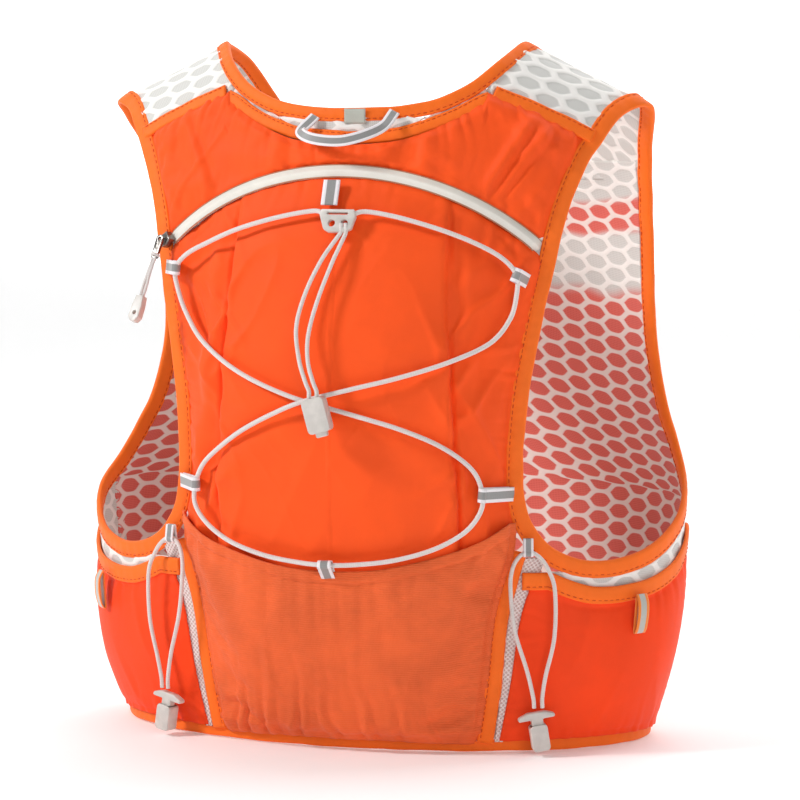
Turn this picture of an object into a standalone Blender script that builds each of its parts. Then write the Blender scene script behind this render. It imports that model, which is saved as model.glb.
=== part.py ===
"""Running hydration pack: a sleeveless vest with a water compartment on its back.

Metres, +Z up. The wearer's back faces -Y and the wearer's right side is +X. The origin is on the
surface the pack stands on, under the middle of its box.

Every fabric piece is laid on one body form: an ellipse in plan whose width and depth follow the
height, closed over the shoulders. A place on it is named by an angle round the body (0 at the
middle of the back, 90 degrees at the wearer's right side, 180 degrees at the front) and a height.
"""

import math

import bmesh
import bpy
import numpy as np
from mathutils import Matrix, Vector

# The body form
FORM_CENTRE_Y = 0.0098
WIDEST_HEIGHT = 0.17
HALF_WIDTH = 0.1785
HEM_HALF_WIDTH = 0.157
SHOULDER_HALF_WIDTH = 0.185
HALF_DEPTH = 0.095
HEM_DEPTH_LOSS = 0.0115
SHOULDER_DEPTH_LOSS = 0.008
SHOULDER_SPAN = 0.2
RIDGE_HEIGHT = 0.4367
RIDGE_SLOPE = 0.515
RIDGE_ROUNDING = 0.02
RIDGE_SHIFT = 0.020
RIDGE_SHIFT_HEIGHT = 0.4
SHOULDER_POWER = 3.7

# Fabrics, tapes and the gaps between neighbours
TAPE_WIDTH = 0.0100
NECK_TAPE = 0.0080
YOKE_TAPE = 0.0075
TAPE_HALF_THICKNESS = 0.0018
CLEARANCE = 0.0006
INSET = TAPE_WIDTH + CLEARANCE
MESH_LOW = -0.0014
MESH_HIGH = 0.0006
FABRIC = 0.0012
OUTER_BASE = 0.0016

# Outlines of the back, as (height, half width) of the free edge of the edge tapes
BACK_EDGE = [
    (0.0, 0.0825), (0.04, 0.0890), (0.075, 0.0930), (0.098, 0.0985), (0.118, 0.1040),
    (0.134, 0.1045), (0.148, 0.1020), (0.160, 0.1015), (0.180, 0.1025), (0.205, 0.1045),
    (0.240, 0.1100), (0.266, 0.1148), (0.300, 0.1210), (0.330, 0.1300), (0.352, 0.1380),
]
# (half width, height) of lines across the back
YOKE_LINE = [(0.0, 0.3470), (0.030, 0.3495), (0.056, 0.3585), (0.075, 0.3690)]
NECK_LINE = [(0.0, 0.3640), (0.040, 0.3670), (0.064, 0.3770), (0.079, 0.3905), (0.0875, 0.4000)]
POCKET_LINE = [(0.0, 0.1080), (0.030, 0.1105), (0.072, 0.1220), (0.093, 0.1330)]
SHOULDER_LINE = [(0.075, 0.3740), (0.105, 0.3615), (0.137, 0.3460)]

# Thickness that the loaded compartment adds behind the back panel, as (height, bulge)
BULGE = [(0.0, 0.0), (0.03, 0.006), (0.06, 0.012), (0.12, 0.0200), (0.20, 0.0235), (0.27, 0.0190),
         (0.305, 0.0120), (0.335, 0.0050), (0.40, 0.0)]

# The long zip: an arc of a circle, its tape a narrow band of a cone round the circle's axis
ZIP_APEX = (0.0, -0.0895, 0.329)
ZIP_HALF_CHORD = 0.108
ZIP_DROP = 0.0415
ZIP_RISE_Y = 0.019
ZIP_CONE = math.radians(40)
ZIP_WIDTH = 0.0076
ZIP_THICKNESS = 0.0012

# Armhole edge of the right side, from the shoulder ridge down the back, round the bottom and up
# the front: (half width, height) on each face
ARMHOLE_BACK = [
    (0.1480, 0.3600), (0.1375, 0.3440), (0.1300, 0.3290), (0.1215, 0.3020), (0.1148, 0.2660),
    (0.1095, 0.2360), (0.1045, 0.2050), (0.1022, 0.1760), (0.1020, 0.1540), (0.1045, 0.1380),
    (0.1095, 0.1270), (0.1190, 0.1170), (0.1340, 0.1105), (0.1510, 0.1105), (0.1650, 0.1160),
    (0.1745, 0.1260),
]
ARMHOLE_FRONT = [(0.1740, 0.1520), (0.1660, 0.1720), (0.1585, 0.1930), (0.1530, 0.2220),
                 (0.1515, 0.2500), (0.1520, 0.2800), (0.1530, 0.3090), (0.1550, 0.3380)]
ARMHOLE_RIDGE = 0.161
# Front edge of the right half, from the hem up to the shoulder ridge
FRONT_EDGE = [(0.0, 0.0260), (0.10, 0.0270), (0.20, 0.0285), (0.25, 0.0340), (0.30, 0.0470),
              (0.335, 0.0620), (0.368, 0.0760), (0.390, 0.0850)]
NECK_RIDGE = 0.0900
SIDE_SEAM = math.radians(100)
FRONT_TOP = 0.330

# Side pocket top edge, as (angle round the body in degrees, height)
SIDE_POCKET_TOP = [(38, 0.1045), (48, 0.0965), (60, 0.0955), (72, 0.0995), (84, 0.1090), (99, 0.1230)]
FLASK_TOP_OUTER = 0.262
FLASK_TOP_INNER = 0.214
FLASK_FULLNESS = 0.024
FLASK_MOUTH = 0.72
SIDE_FULLNESS = 0.0060

# Cords and their plastic pieces
BUNGEE = 0.0027
SIDE_CORD = 0.0024
PULL_CORD = 0.0016
CORD_GAP = 0.0004
CORD_STEP = 2.6
MOST_CORD_POINTS = 80

ORANGE = (0.90, 0.10, 0.010)
TAPE_ORANGE = (0.95, 0.20, 0.015)
POCKET_ORANGE = (0.80, 0.13, 0.03)
WHITE = (0.85, 0.83, 0.79)
CREAM = (0.78, 0.74, 0.68)
SILVER = (0.35, 0.35, 0.36)
NICKEL = (0.10, 0.10, 0.10)
FILM_BLUE = (0.45, 0.60, 0.70)
CAP_BLUE = (0.10, 0.25, 0.45)


# ------------------------------------------------------------------ the body form

def half_width(z):
    z = np.asarray(z, float)
    low = HALF_WIDTH - (HALF_WIDTH - HEM_HALF_WIDTH) * (1 - np.minimum(z / WIDEST_HEIGHT, 1)) ** 2
    rise = np.maximum(z - WIDEST_HEIGHT, 0) / (RIDGE_HEIGHT - WIDEST_HEIGHT)
    return low + (SHOULDER_HALF_WIDTH - HALF_WIDTH) * rise ** 2


def half_depth(z):
    z = np.asarray(z, float)
    low = HALF_DEPTH - HEM_DEPTH_LOSS * (1 - np.minimum(z / WIDEST_HEIGHT, 1)) ** 2
    return low - SHOULDER_DEPTH_LOSS * (np.maximum(z - WIDEST_HEIGHT, 0) / SHOULDER_SPAN) ** 2


def centre_y(z):
    return FORM_CENTRE_Y - RIDGE_SHIFT * (np.maximum(z, 0) / RIDGE_SHIFT_HEIGHT) ** 3


def ridge(x):
    """Height of the shoulder ridge at a distance x from the middle."""
    x = np.asarray(x, float)
    return RIDGE_HEIGHT - RIDGE_SLOPE * (np.sqrt(x * x + RIDGE_ROUNDING ** 2) - RIDGE_ROUNDING)


def closing(x, z):
    """How much of its depth the form keeps at a height: 1 low down, 0 on the ridge."""
    return np.sqrt(np.maximum(1 - (np.maximum(z, 0) / ridge(x)) ** SHOULDER_POWER, 0))


def on_form(angle, z):
    """Point of the form at an angle round the body and a height."""
    angle, z = np.broadcast_arrays(np.asarray(angle, float), np.asarray(z, float))
    x = half_width(z) * np.sin(angle)
    y = centre_y(z) - half_depth(z) * np.cos(angle) * closing(x, z)
    return np.stack([x, y, z], -1)


def angle_of(x, z, front=False):
    turned = np.arcsin(np.clip(np.asarray(x, float) / half_width(z), -1, 1))
    return np.where(turned < 0, -math.pi, math.pi) - turned if front else turned


def on_back(x, z):
    return on_form(angle_of(x, z), z)


def on_front(x, z):
    return on_form(angle_of(x, z, True), z)


def over_shoulder(x, tilt):
    """Point of the form near the ridge: tilt 0 is the ridge, negative is the back face."""
    z = ridge(x) * np.cos(tilt) ** (2 / SHOULDER_POWER)
    depth = half_depth(z) * np.sqrt(np.maximum(1 - (x / half_width(z)) ** 2, 0))
    return np.stack([x, centre_y(z) + depth * np.sin(tilt), z], -1)


def tilt_of(x, z, front=False):
    tilt = np.arccos(np.clip((z / ridge(x)) ** (SHOULDER_POWER / 2), 0, 1))
    return tilt if front else -tilt


def outward(points):
    """Unit normals of the form, from the slope of its implicit equation."""
    points = np.asarray(points, float)
    step = 1e-5

    def level(p):
        x, y, z = p[..., 0], p[..., 1], p[..., 2]
        plan = 1 - (x / half_width(z)) ** 2
        top = 1 - (np.maximum(z, 0) / ridge(x)) ** SHOULDER_POWER
        return ((y - centre_y(z)) / half_depth(z)) ** 2 - plan * top

    slope = [level(points + step * e) - level(points - step * e) for e in np.eye(3)]
    slope = np.stack(slope, -1)
    return slope / np.linalg.norm(slope, axis=-1, keepdims=True)


# ------------------------------------------------------------------ curves

def smooth(points, count, closed=False):
    """Evenly spaced points along a Catmull-Rom curve through the given ones."""
    points = np.asarray(points, float)
    if closed:
        around = np.vstack([points[-1], points, points[0], points[1]])
    else:
        around = np.vstack([2 * points[0] - points[1], points, 2 * points[-1] - points[-2]])
    t = np.linspace(0, 1, 24, endpoint=False)[:, None]
    pieces = []
    for a, b, c, d in zip(around, around[1:], around[2:], around[3:]):
        pieces.append(0.5 * (2 * b + (c - a) * t + (2 * a - 5 * b + 4 * c - d) * t ** 2
                             + (3 * b - a - 3 * c + d) * t ** 3))
    dense = np.vstack(pieces + [points[:1] if closed else points[-1:]])
    run = np.concatenate([[0], np.cumsum(np.linalg.norm(np.diff(dense, axis=0), axis=1))])
    wanted = np.linspace(0, run[-1], count + 1 if closed else count)
    if closed:
        wanted = wanted[:-1]
    return np.stack([np.interp(wanted, run, dense[:, k]) for k in range(points.shape[1])], -1)


def graph(points):
    """A smooth function through (input, output) points, held level past its ends."""
    dense = smooth(points, 160)
    return lambda t: np.interp(t, dense[:, 0], dense[:, 1])


back_edge = graph(BACK_EDGE)
yoke_line = graph(YOKE_LINE)
neck_line = graph(NECK_LINE)
pocket_line = graph(POCKET_LINE)
shoulder_line = graph(SHOULDER_LINE)
bulge_at = graph(BULGE)
front_edge = graph(FRONT_EDGE)


def ease(t):
    t = np.clip(t, 0, 1)
    return t * t * (3 - 2 * t)


# ------------------------------------------------------------------ objects

def material(name, colour, roughness, metallic=0.0):
    made = bpy.data.materials.get(name) or bpy.data.materials.new(name)
    made.use_nodes = True
    shader = made.node_tree.nodes["Principled BSDF"]
    shader.inputs["Base Color"].default_value = (*colour, 1)
    shader.inputs["Roughness"].default_value = roughness
    shader.inputs["Metallic"].default_value = metallic
    made.diffuse_color = (*colour, 1)
    return made


def fabric():
    return material("orange_fabric", ORANGE, 0.75)


def tape_fabric():
    return material("orange_tape", TAPE_ORANGE, 0.8)


def mesh_fabric():
    return material("white_mesh", WHITE, 0.7)


def ribbon_fabric():
    return material("reflective_ribbon", SILVER, 0.4)


def plastic():
    return material("cream_plastic", CREAM, 0.45)


def cord_fabric():
    return material("cream_cord", CREAM, 0.7)


def add_object(name, data, made):
    found = bpy.data.objects.new(name, data)
    data.materials.append(made)
    bpy.context.scene.collection.objects.link(found)
    return found


def add_mesh(name, shape, made, place=None, smooth_angle=None):
    """Turn a bmesh into a named object, its faces pointing out."""
    bmesh.ops.recalc_face_normals(shape, faces=shape.faces)
    if shape.calc_volume(signed=True) < 0:
        bmesh.ops.reverse_faces(shape, faces=shape.faces)
    mesh = bpy.data.meshes.new(name)
    shape.to_mesh(mesh)
    shape.free()
    if smooth_angle is not None:
        mesh.shade_smooth()
        mesh.set_sharp_from_angle(angle=math.radians(smooth_angle))
    found = add_object(name, mesh, made)
    if place is not None:
        found.matrix_world = place
    return found


def solid_from_rings(rings, closed_around=False, capped=True):
    """A bmesh skinned over rings of points, each ring a closed loop of the same length."""
    shape = bmesh.new()
    loops = [[shape.verts.new(p) for p in ring] for ring in rings]
    pairs = list(zip(loops, loops[1:]))
    if closed_around:
        pairs.append((loops[-1], loops[0]))
    for a, b in pairs:
        for k in range(len(a)):
            shape.faces.new((a[k - 1], a[k], b[k], b[k - 1]))
    if capped and not closed_around:
        shape.faces.new(loops[0])
        shape.faces.new(loops[-1])
    return shape


def skin(name, surface, across, along, low, high, made):
    """A closed sheet of fabric: surface(u, v) gives its middle, low and high its two faces."""
    u, v = np.meshgrid(np.linspace(0, 1, across + 1), np.linspace(0, 1, along + 1), indexing="ij")
    step = 1e-3
    points = surface(u, v)
    du = surface(np.minimum(u + step, 1), v) - surface(np.maximum(u - step, 0), v)
    dv = surface(u, np.minimum(v + step, 1)) - surface(u, np.maximum(v - step, 0))
    normal = np.cross(du, dv)
    normal /= np.linalg.norm(normal, axis=-1, keepdims=True)
    facing = (normal * outward(points)).sum(-1, keepdims=True)
    normal *= np.sign(facing)
    lows = low(u, v)[..., None] if callable(low) else low
    highs = high(u, v)[..., None] if callable(high) else high
    shape = bmesh.new()
    layers = []
    for offset in (lows, highs):
        grid = points + normal * offset
        layers.append([[shape.verts.new(p) for p in row] for row in grid])
    for i in range(across):
        for j in range(along):
            for rows in layers:
                shape.faces.new((rows[i][j], rows[i + 1][j], rows[i + 1][j + 1], rows[i][j + 1]))
    inner, outer = layers
    for j in range(along):
        for i in (0, across):
            shape.faces.new((inner[i][j], inner[i][j + 1], outer[i][j + 1], outer[i][j]))
    for i in range(across):
        for j in (0, along):
            shape.faces.new((inner[i][j], inner[i + 1][j], outer[i + 1][j], outer[i][j]))
    return add_mesh(name, shape, made, smooth_angle=50)


def tape_directions(route, side, closed=False, upright=False):
    """The face and width directions of a tape along a route."""
    if closed:
        along = np.roll(route, -1, 0) - np.roll(route, 1, 0)
    else:
        along = np.gradient(route, axis=0)
    normal = outward(route)
    if upright:
        normal[:, 2] = 0
        normal /= np.linalg.norm(normal, axis=1, keepdims=True)
    across = np.cross(normal, along) * side
    across /= np.linalg.norm(across, axis=1, keepdims=True)
    return normal, across


def tape(name, route, side, made, closed=False, lift=0.0, width=TAPE_WIDTH,
         half=TAPE_HALF_THICKNESS, upright=False):
    """A flat tape with one edge on the route and its width to one side of it."""
    normal, across = tape_directions(route, side, closed, upright)
    base = route + normal * lift
    rings = [
        (p - n * half, p + s * width - n * half, p + s * width + n * half, p + n * half)
        for p, n, s in zip(base, normal, across)
    ]
    return add_mesh(name, solid_from_rings(rings, closed_around=closed), made, smooth_angle=50)


def plate(name, outline, holes, thickness, place, made):
    """A plate from an outline with holes, centred on its thickness along local Z."""
    shape = bmesh.new()
    edges = []
    for loop in [outline, *holes]:
        corners = [shape.verts.new((x, y, -thickness / 2)) for x, y in loop]
        edges += [shape.edges.new((a, b)) for a, b in zip(corners, corners[1:] + corners[:1])]
    bmesh.ops.triangle_fill(shape, use_beauty=True, use_dissolve=False, edges=edges)
    grown = bmesh.ops.extrude_face_region(shape, geom=shape.faces[:])
    lifted = [v for v in grown["geom"] if isinstance(v, bmesh.types.BMVert)]
    bmesh.ops.translate(shape, verts=lifted, vec=(0, 0, thickness))
    return add_mesh(name, shape, made, place, smooth_angle=35)


def arc(centre, radius, start, end, count):
    """Points of an arc, angles in degrees."""
    turns = np.radians(np.linspace(start, end, count))
    return [(centre[0] + radius * math.cos(t), centre[1] + radius * math.sin(t)) for t in turns]


def rounded_box(width, height, radius, count=4):
    points = []
    for k, (sx, sy) in enumerate(((1, 1), (-1, 1), (-1, -1), (1, -1))):
        centre = (sx * (width / 2 - radius), sy * (height / 2 - radius))
        points += arc(centre, radius, 90 * k, 90 * k + 90, count)
    return points


def cord(name, route, diameter, made):
    """A round cord along a smooth curve, a point every few diameters."""
    route = np.asarray(route, float)
    length = np.linalg.norm(np.diff(smooth(route, 200), axis=0), axis=1).sum()
    points = smooth(route, min(MOST_CORD_POINTS, max(4, round(length / (CORD_STEP * diameter)))))
    curve = bpy.data.curves.new(name, "CURVE")
    curve.dimensions = "3D"
    curve.bevel_depth = diameter / 2
    curve.bevel_resolution = 2
    curve.use_fill_caps = True
    spline = curve.splines.new("POLY")
    spline.points.add(len(points) - 1)
    for point, place in zip(spline.points, points):
        point.co = (*place, 1)
    return add_object(name, curve, made)


def facing(origin, z_axis, y_axis):
    """A placing matrix with local Z along z_axis and local Y near y_axis."""
    z_axis = Vector(z_axis).normalized()
    x_axis = Vector(y_axis).cross(z_axis).normalized()
    y_axis = z_axis.cross(x_axis)
    turned = Matrix((x_axis, y_axis, z_axis)).transposed().to_4x4()
    return Matrix.Translation(Vector(origin)) @ turned


def subtract(target, cutter):
    cutter.hide_render = True
    cutter.display_type = "WIRE"
    cut = target.modifiers.new("cut", "BOOLEAN")
    cut.operation = "DIFFERENCE"
    cut.object = cutter


# ------------------------------------------------------------------ the long zip's circle

def zip_frame():
    """Centre, radius and the in-plane and axial directions of the zip's circle."""
    sagitta = math.hypot(ZIP_DROP, ZIP_RISE_Y)
    radius = (ZIP_HALF_CHORD ** 2 + sagitta ** 2) / (2 * sagitta)
    up = np.array([0, -ZIP_RISE_Y, ZIP_DROP]) / sagitta
    axis = np.array([0, -ZIP_DROP, -ZIP_RISE_Y]) / sagitta
    centre = np.array(ZIP_APEX) + [0, FORM_CENTRE_Y, 0] - radius * up
    return centre, radius, up, axis


ZIP_CENTRE, ZIP_RADIUS, ZIP_UP, ZIP_AXIS = zip_frame()


def zip_point(turn, across=0.0, lift=0.0):
    """Point of the zip's cone: turn from the apex, positive to +X, across its width, off its face."""
    turn = np.asarray(turn, float)[..., None]
    radial = np.sin(turn) * np.array([1, 0, 0]) + np.cos(turn) * ZIP_UP
    face = radial * math.cos(ZIP_CONE) + ZIP_AXIS * math.sin(ZIP_CONE)
    width = radial * math.sin(ZIP_CONE) - ZIP_AXIS * math.cos(ZIP_CONE)
    return ZIP_CENTRE + radial * ZIP_RADIUS + width * across + face * lift


def zip_border(across):
    """Height and depth of one edge of the zip tape as functions of x."""
    line = zip_point(np.linspace(-1.2, 1.2, 241), across)
    return (lambda x: np.interp(x, line[:, 0], line[:, 2])), (lambda x: np.interp(x, line[:, 0], line[:, 1]))


ZIP_REACH = ZIP_WIDTH / 2 + CLEARANCE
zip_low_z, zip_low_y = zip_border(-ZIP_REACH)
zip_high_z, zip_high_y = zip_border(ZIP_REACH)


# ------------------------------------------------------------------ the back

def panel_half(z):
    return back_edge(z) - INSET


def column_end(share, line):
    """Where the column at a share of the half width (-1 to 1) meets a line across the back."""
    z = line(np.abs(share) * panel_half(0.3))
    for _ in range(12):
        z = line(np.abs(share) * panel_half(z))
    return z


def back_chart(bottom, top):
    """A chart of the back between two lines, each a function of the half width."""
    def chart(u, v):
        share = 2 * u - 1
        low = column_end(share, bottom)
        z = low + v * (column_end(share, top) - low)
        return share * panel_half(z), z
    return chart


def level_line(height):
    return lambda x: height + 0 * x


def band_or_yoke(x):
    """Lower edge of the tapes that close the top of the back."""
    below = YOKE_TAPE / 2 + 2 * CLEARANCE
    return np.where(x < YOKE_LINE[-1][0], yoke_line(x), shoulder_line(x)) - below


def loaded(x, z):
    """Distance of the loaded compartment's fabric off the form."""
    share = np.clip(np.abs(x) / panel_half(z), 0, 1)
    return OUTER_BASE + bulge_at(z) * (1 - share ** 3) ** 0.8


def back_surface(bottom, top, lift, top_y=None, bottom_y=None):
    """A lifted chart of the back whose ends are eased onto given depths."""
    chart = back_chart(bottom, top)

    def surface(u, v):
        x, z = chart(u, v)
        points = on_back(x, z)
        points = points + outward(points) * lift(x, z)[..., None]
        for end, depth in ((1.0, top_y), (0.0, bottom_y)):
            if depth is None:
                continue
            ex, ez = chart(u, np.full_like(v, end))
            edge = on_back(ex, ez)
            edge = edge + outward(edge) * lift(ex, ez)[..., None]
            pull = ease(1 - np.abs(v - end) / 0.45)
            target = np.stack([ex, depth(ex), ez], -1)
            points = points + pull[..., None] * (target - edge)
        return points
    return surface


def back_panel():
    surface = back_surface(level_line(INSET), band_or_yoke, lambda x, z: 0 * x)
    skin("back_panel", surface, 12, 10, MESH_LOW, MESH_HIGH, mesh_fabric())


def main_compartment():
    surface = back_surface(level_line(INSET), zip_low_z, loaded, top_y=zip_low_y)
    skin("main_compartment", surface, 18, 16, 0.0, FABRIC, fabric())


def yoke():
    surface = back_surface(zip_high_z, band_or_yoke, loaded, bottom_y=zip_high_y)
    skin("yoke", surface, 18, 5, 0.0, FABRIC, fabric())


POCKET_GAP = 0.0024


def mesh_pocket():
    def lift(x, z):
        return loaded(x, z) + FABRIC + POCKET_GAP
    surface = back_surface(level_line(INSET), pocket_line, lift)
    skin("mesh_pocket", surface, 14, 6, 0.0, 0.0008, material("stretch_mesh", POCKET_ORANGE, 0.8))


NECK_MESH_HALF = 0.062


def neck_inner_height(x):
    """Height of the line under the neck binding at a distance from the middle of the back."""
    edge = neck_inner_edge()
    edge = edge[(edge[:, 1] < 0) & (np.abs(edge[:, 0]) < 0.085)]
    order = np.argsort(edge[:, 0])
    return np.interp(x, edge[order, 0], edge[order, 2])


def neck_mesh():
    def surface(u, v):
        x = (2 * u - 1) * NECK_MESH_HALF
        low = yoke_line(np.abs(x)) + YOKE_TAPE / 2 + 2 * CLEARANCE
        high = neck_inner_height(x)
        return on_back(x, low + v * (high - low))
    skin("neck_mesh", surface, 14, 1, MESH_LOW, MESH_HIGH, mesh_fabric())


def zip_tape():
    reach = math.asin(0.1045 / ZIP_RADIUS)
    half = ZIP_THICKNESS / 2
    rings = []
    for turn in np.linspace(-reach, reach, 29):
        corners = ((-1, -1), (1, -1), (1, 1), (-1, 1))
        rings.append([zip_point(turn, a * ZIP_WIDTH / 2, b * half) for a, b in corners])
    add_mesh("zip_tape", solid_from_rings(rings), material("cream_zip", WHITE, 0.6), smooth_angle=50)


RESERVOIR_HALF = 0.058
RESERVOIR_BOTTOM = 0.032
RESERVOIR_TOP = 0.285
CAP_HEIGHT = 0.245
CAP_RADIUS = 0.021
CAP_LOW = 0.0105
CAP_THICKNESS = 0.0065


def reservoir():
    """The folded-top water bag, full below its cap and thin around it."""
    def surface(u, v):
        return on_back((2 * u - 1) * RESERVOIR_HALF, RESERVOIR_BOTTOM
                       + v * (RESERVOIR_TOP - RESERVOIR_BOTTOM))

    def high(u, v):
        z = RESERVOIR_BOTTOM + v * (RESERVOIR_TOP - RESERVOIR_BOTTOM)
        rounding = (1 - np.abs(2 * u - 1) ** 4) * (1 - np.abs(2 * v - 1) ** 6)
        room = np.minimum(bulge_at(z) - 0.0035, 0.0195)
        thin = ease((z - 0.195) / 0.025)
        full = room * (1 - thin) + 0.0080 * thin
        return 0.0024 + np.maximum(full, 0.001) * rounding
    skin("reservoir", surface, 10, 12, 0.0015, high, material("water_film", FILM_BLUE, 0.2))


def reservoir_cap():
    foot = on_back(0.0, CAP_HEIGHT)
    away = outward(foot)
    shape = bmesh.new()
    bmesh.ops.create_cone(shape, cap_ends=True, segments=24, radius1=CAP_RADIUS,
                          radius2=CAP_RADIUS - 0.0015, depth=CAP_THICKNESS)
    place = facing(foot + away * (CAP_LOW + CAP_THICKNESS / 2), away, (0, 0, 1))
    add_mesh("reservoir_cap", shape, material("cap_plastic", CAP_BLUE, 0.4), place, 35)


# ------------------------------------------------------------------ tapes at the edges

def mirrored(points):
    return np.asarray(points, float) * [-1, 1, 1]


def on_side(points, face):
    return [face(np.float64(x), np.float64(z)) for x, z in points]


def neck_route():
    """The free edge up the right front, round the neck and down the left front."""
    front = [on_front(np.float64(x), np.float64(z)) for z, x in FRONT_EDGE]
    front[0] = on_front(np.float64(FRONT_EDGE[0][1]), np.float64(INSET + CLEARANCE))
    back = on_side(NECK_LINE[:0:-1], on_back)
    right = [*front, over_shoulder(np.float64(NECK_RIDGE), np.float64(0)), *back]
    middle = on_back(np.float64(0), np.float64(NECK_LINE[0][1]))
    route = np.vstack([right, [middle], mirrored(right)[::-1]])
    return smooth(route, 97)


def neck_binding():
    tape("neck_binding", neck_route(), 1, tape_fabric(), width=NECK_TAPE)


def neck_inner_edge():
    """The line just inside the neck binding, where the panels start."""
    route = neck_route()
    _, across = tape_directions(route, 1)
    return route + across * (NECK_TAPE + 3 * CLEARANCE)


def yoke_binding():
    half = 0.5 * YOKE_TAPE
    x = np.linspace(-0.0715, 0.0715, 25)
    line = on_back(x, yoke_line(np.abs(x)))
    route = line - np.cross(outward(line), np.gradient(line, axis=0) / np.linalg.norm(
        np.gradient(line, axis=0), axis=1, keepdims=True)) * half
    tape("yoke_binding", route, 1, tape_fabric(), lift=0.0012, half=0.0014, width=YOKE_TAPE)


def shoulder_band(name, sign):
    x = np.linspace(0.0850, 0.1245, 8)
    line = on_back(x, shoulder_line(x))
    heading = np.gradient(line, axis=0)
    heading /= np.linalg.norm(heading, axis=1, keepdims=True)
    route = line - np.cross(outward(line), heading) * 0.5 * NECK_TAPE
    side = 1
    if sign < 0:
        route = mirrored(route)
        side = -1
    tape(name, route, side, tape_fabric(), lift=0.0012, half=0.0014, width=NECK_TAPE)


def armhole_route():
    tip = over_shoulder(np.float64(ARMHOLE_RIDGE), np.float64(0))
    side = on_form(math.radians(90), 0.1380)
    route = [[tip], on_side(ARMHOLE_BACK, on_back), [side], on_side(ARMHOLE_FRONT, on_front)]
    return smooth(np.vstack(route), 72, closed=True)


def armhole_inner_edge():
    """The line just outside the armhole binding, where the panels end."""
    route = armhole_route()
    _, across = tape_directions(route, -1, closed=True)
    return route + across * (INSET + 2 * CLEARANCE)


def angle_and_height(points):
    """Angle round the body and height of points near the form."""
    depth = (points[:, 1] - centre_y(points[:, 2])) / closing(points[:, 0], points[:, 2])
    turn = np.arctan2(points[:, 0] / half_width(points[:, 2]), -depth / half_depth(points[:, 2]))
    return turn, points[:, 2]


def armhole_binding(name, sign):
    route = armhole_route()
    if sign < 0:
        route = mirrored(route)
    tape(name, route, -sign, tape_fabric(), closed=True)


def side_edge_binding(name, sign):
    """The tape down the lower edge of the back, from the armhole to the hem."""
    z = np.linspace(0.1060, INSET + 0.001, 14)
    route = on_back(sign * back_edge(z), z)
    tape(name, route, -sign, tape_fabric(), lift=0.0010, width=TAPE_WIDTH - CLEARANCE)


def hem_binding():
    """The tape round the whole bottom edge, open at the front."""
    opening = angle_of(FRONT_EDGE[0][1], 0.0, True)
    turns = np.linspace(-opening, opening, 91)
    tape("hem_binding", on_form(turns, 0 * turns), 1, tape_fabric(), upright=True)


# ------------------------------------------------------------------ sides, shoulders and front

def shoulder_side(points, back_z):
    """A panel edge over the shoulder as functions of a share: distance x and tilt."""
    x, y, z = points.T
    depth = half_depth(z) * np.sqrt(1 - (x / half_width(z)) ** 2)
    tilt = np.arctan2((y - centre_y(z)) / depth, (np.minimum(z / ridge(x), 1)) ** (SHOULDER_POWER / 2))
    order = np.argsort(tilt)
    behind = [k for k in order if tilt[k] < 0]
    ahead = [k for k in order[::-1] if tilt[k] > 0]
    start = np.interp(back_z, z[behind], tilt[behind])
    end = np.interp(FRONT_TOP, z[ahead], tilt[ahead])
    share = np.linspace(0, 1, 40)
    wanted = start + share * (end - start)
    return share, np.interp(wanted, tilt[order], x[order]), wanted


def shoulder_mesh(name, sign):
    neck = neck_inner_edge()
    neck = neck[(neck[:, 0] > 0.05) & (neck[:, 2] > FRONT_TOP - 0.01)]
    arm = armhole_inner_edge()
    arm = arm[arm[:, 2] > FRONT_TOP - 0.01]
    share, neck_x, neck_tilt = shoulder_side(neck, 0.3835)
    _, arm_x, arm_tilt = shoulder_side(arm, 0.3590)

    def surface(u, v):
        near_x, near_tilt = np.interp(v, share, neck_x), np.interp(v, share, neck_tilt)
        far_x, far_tilt = np.interp(v, share, arm_x), np.interp(v, share, arm_tilt)
        x = near_x + u * (far_x - near_x)
        return over_shoulder(x, near_tilt + u * (far_tilt - near_tilt)) * [sign, 1, 1]
    skin(name, surface, 5, 10, MESH_LOW, MESH_HIGH, mesh_fabric())


neck_inner_angle, neck_inner_z = angle_and_height(
    np.array([p for p in neck_inner_edge() if p[0] > 0 and p[2] < FRONT_TOP + 0.01 and p[1] > 0]))
armhole_angle, armhole_z = angle_and_height(
    np.array([p for p in armhole_inner_edge() if p[2] < FRONT_TOP + 0.01 and p[1] > -0.058]))
front_side = (armhole_angle > SIDE_SEAM) & (armhole_z > 0.1)


def front_panel(name, sign):
    """The front half from the side seam to the front edge, below the shoulder mesh."""
    order = np.argsort(neck_inner_z)
    rise = np.argsort(armhole_z[front_side])
    low = armhole_z[front_side][rise][0]

    def surface(u, v):
        z = INSET + v * (FRONT_TOP - 5 * CLEARANCE - INSET)
        inner = np.interp(z, neck_inner_z[order], neck_inner_angle[order])
        outer = np.interp(z, armhole_z[front_side][rise], armhole_angle[front_side][rise])
        outer = np.where(z < low, SIDE_SEAM, outer)
        return on_form(outer + u * (inner - outer), z) * [sign, 1, 1]
    skin(name, surface, 10, 16, MESH_LOW, MESH_HIGH, mesh_fabric())


def armhole_bottom(degrees):
    """Height of the panels' edge under the armhole at an angle round the body."""
    under = (armhole_z < 0.17) & (armhole_angle > math.radians(30))
    turns = np.degrees(armhole_angle[under])
    order = np.argsort(turns)
    return np.interp(degrees, turns[order], armhole_z[under][order])


SPACER_INNER = 0.0012
SPACER_TOP = 0.104


def spacer_angle(z, share):
    """Angle of a line down the perforated strip, from its inner (0) to its outer edge (1)."""
    width = 0.0030 + 0.0045 * z / SPACER_TOP
    return angle_of(back_edge(z) + SPACER_INNER + share * width, z)


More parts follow.
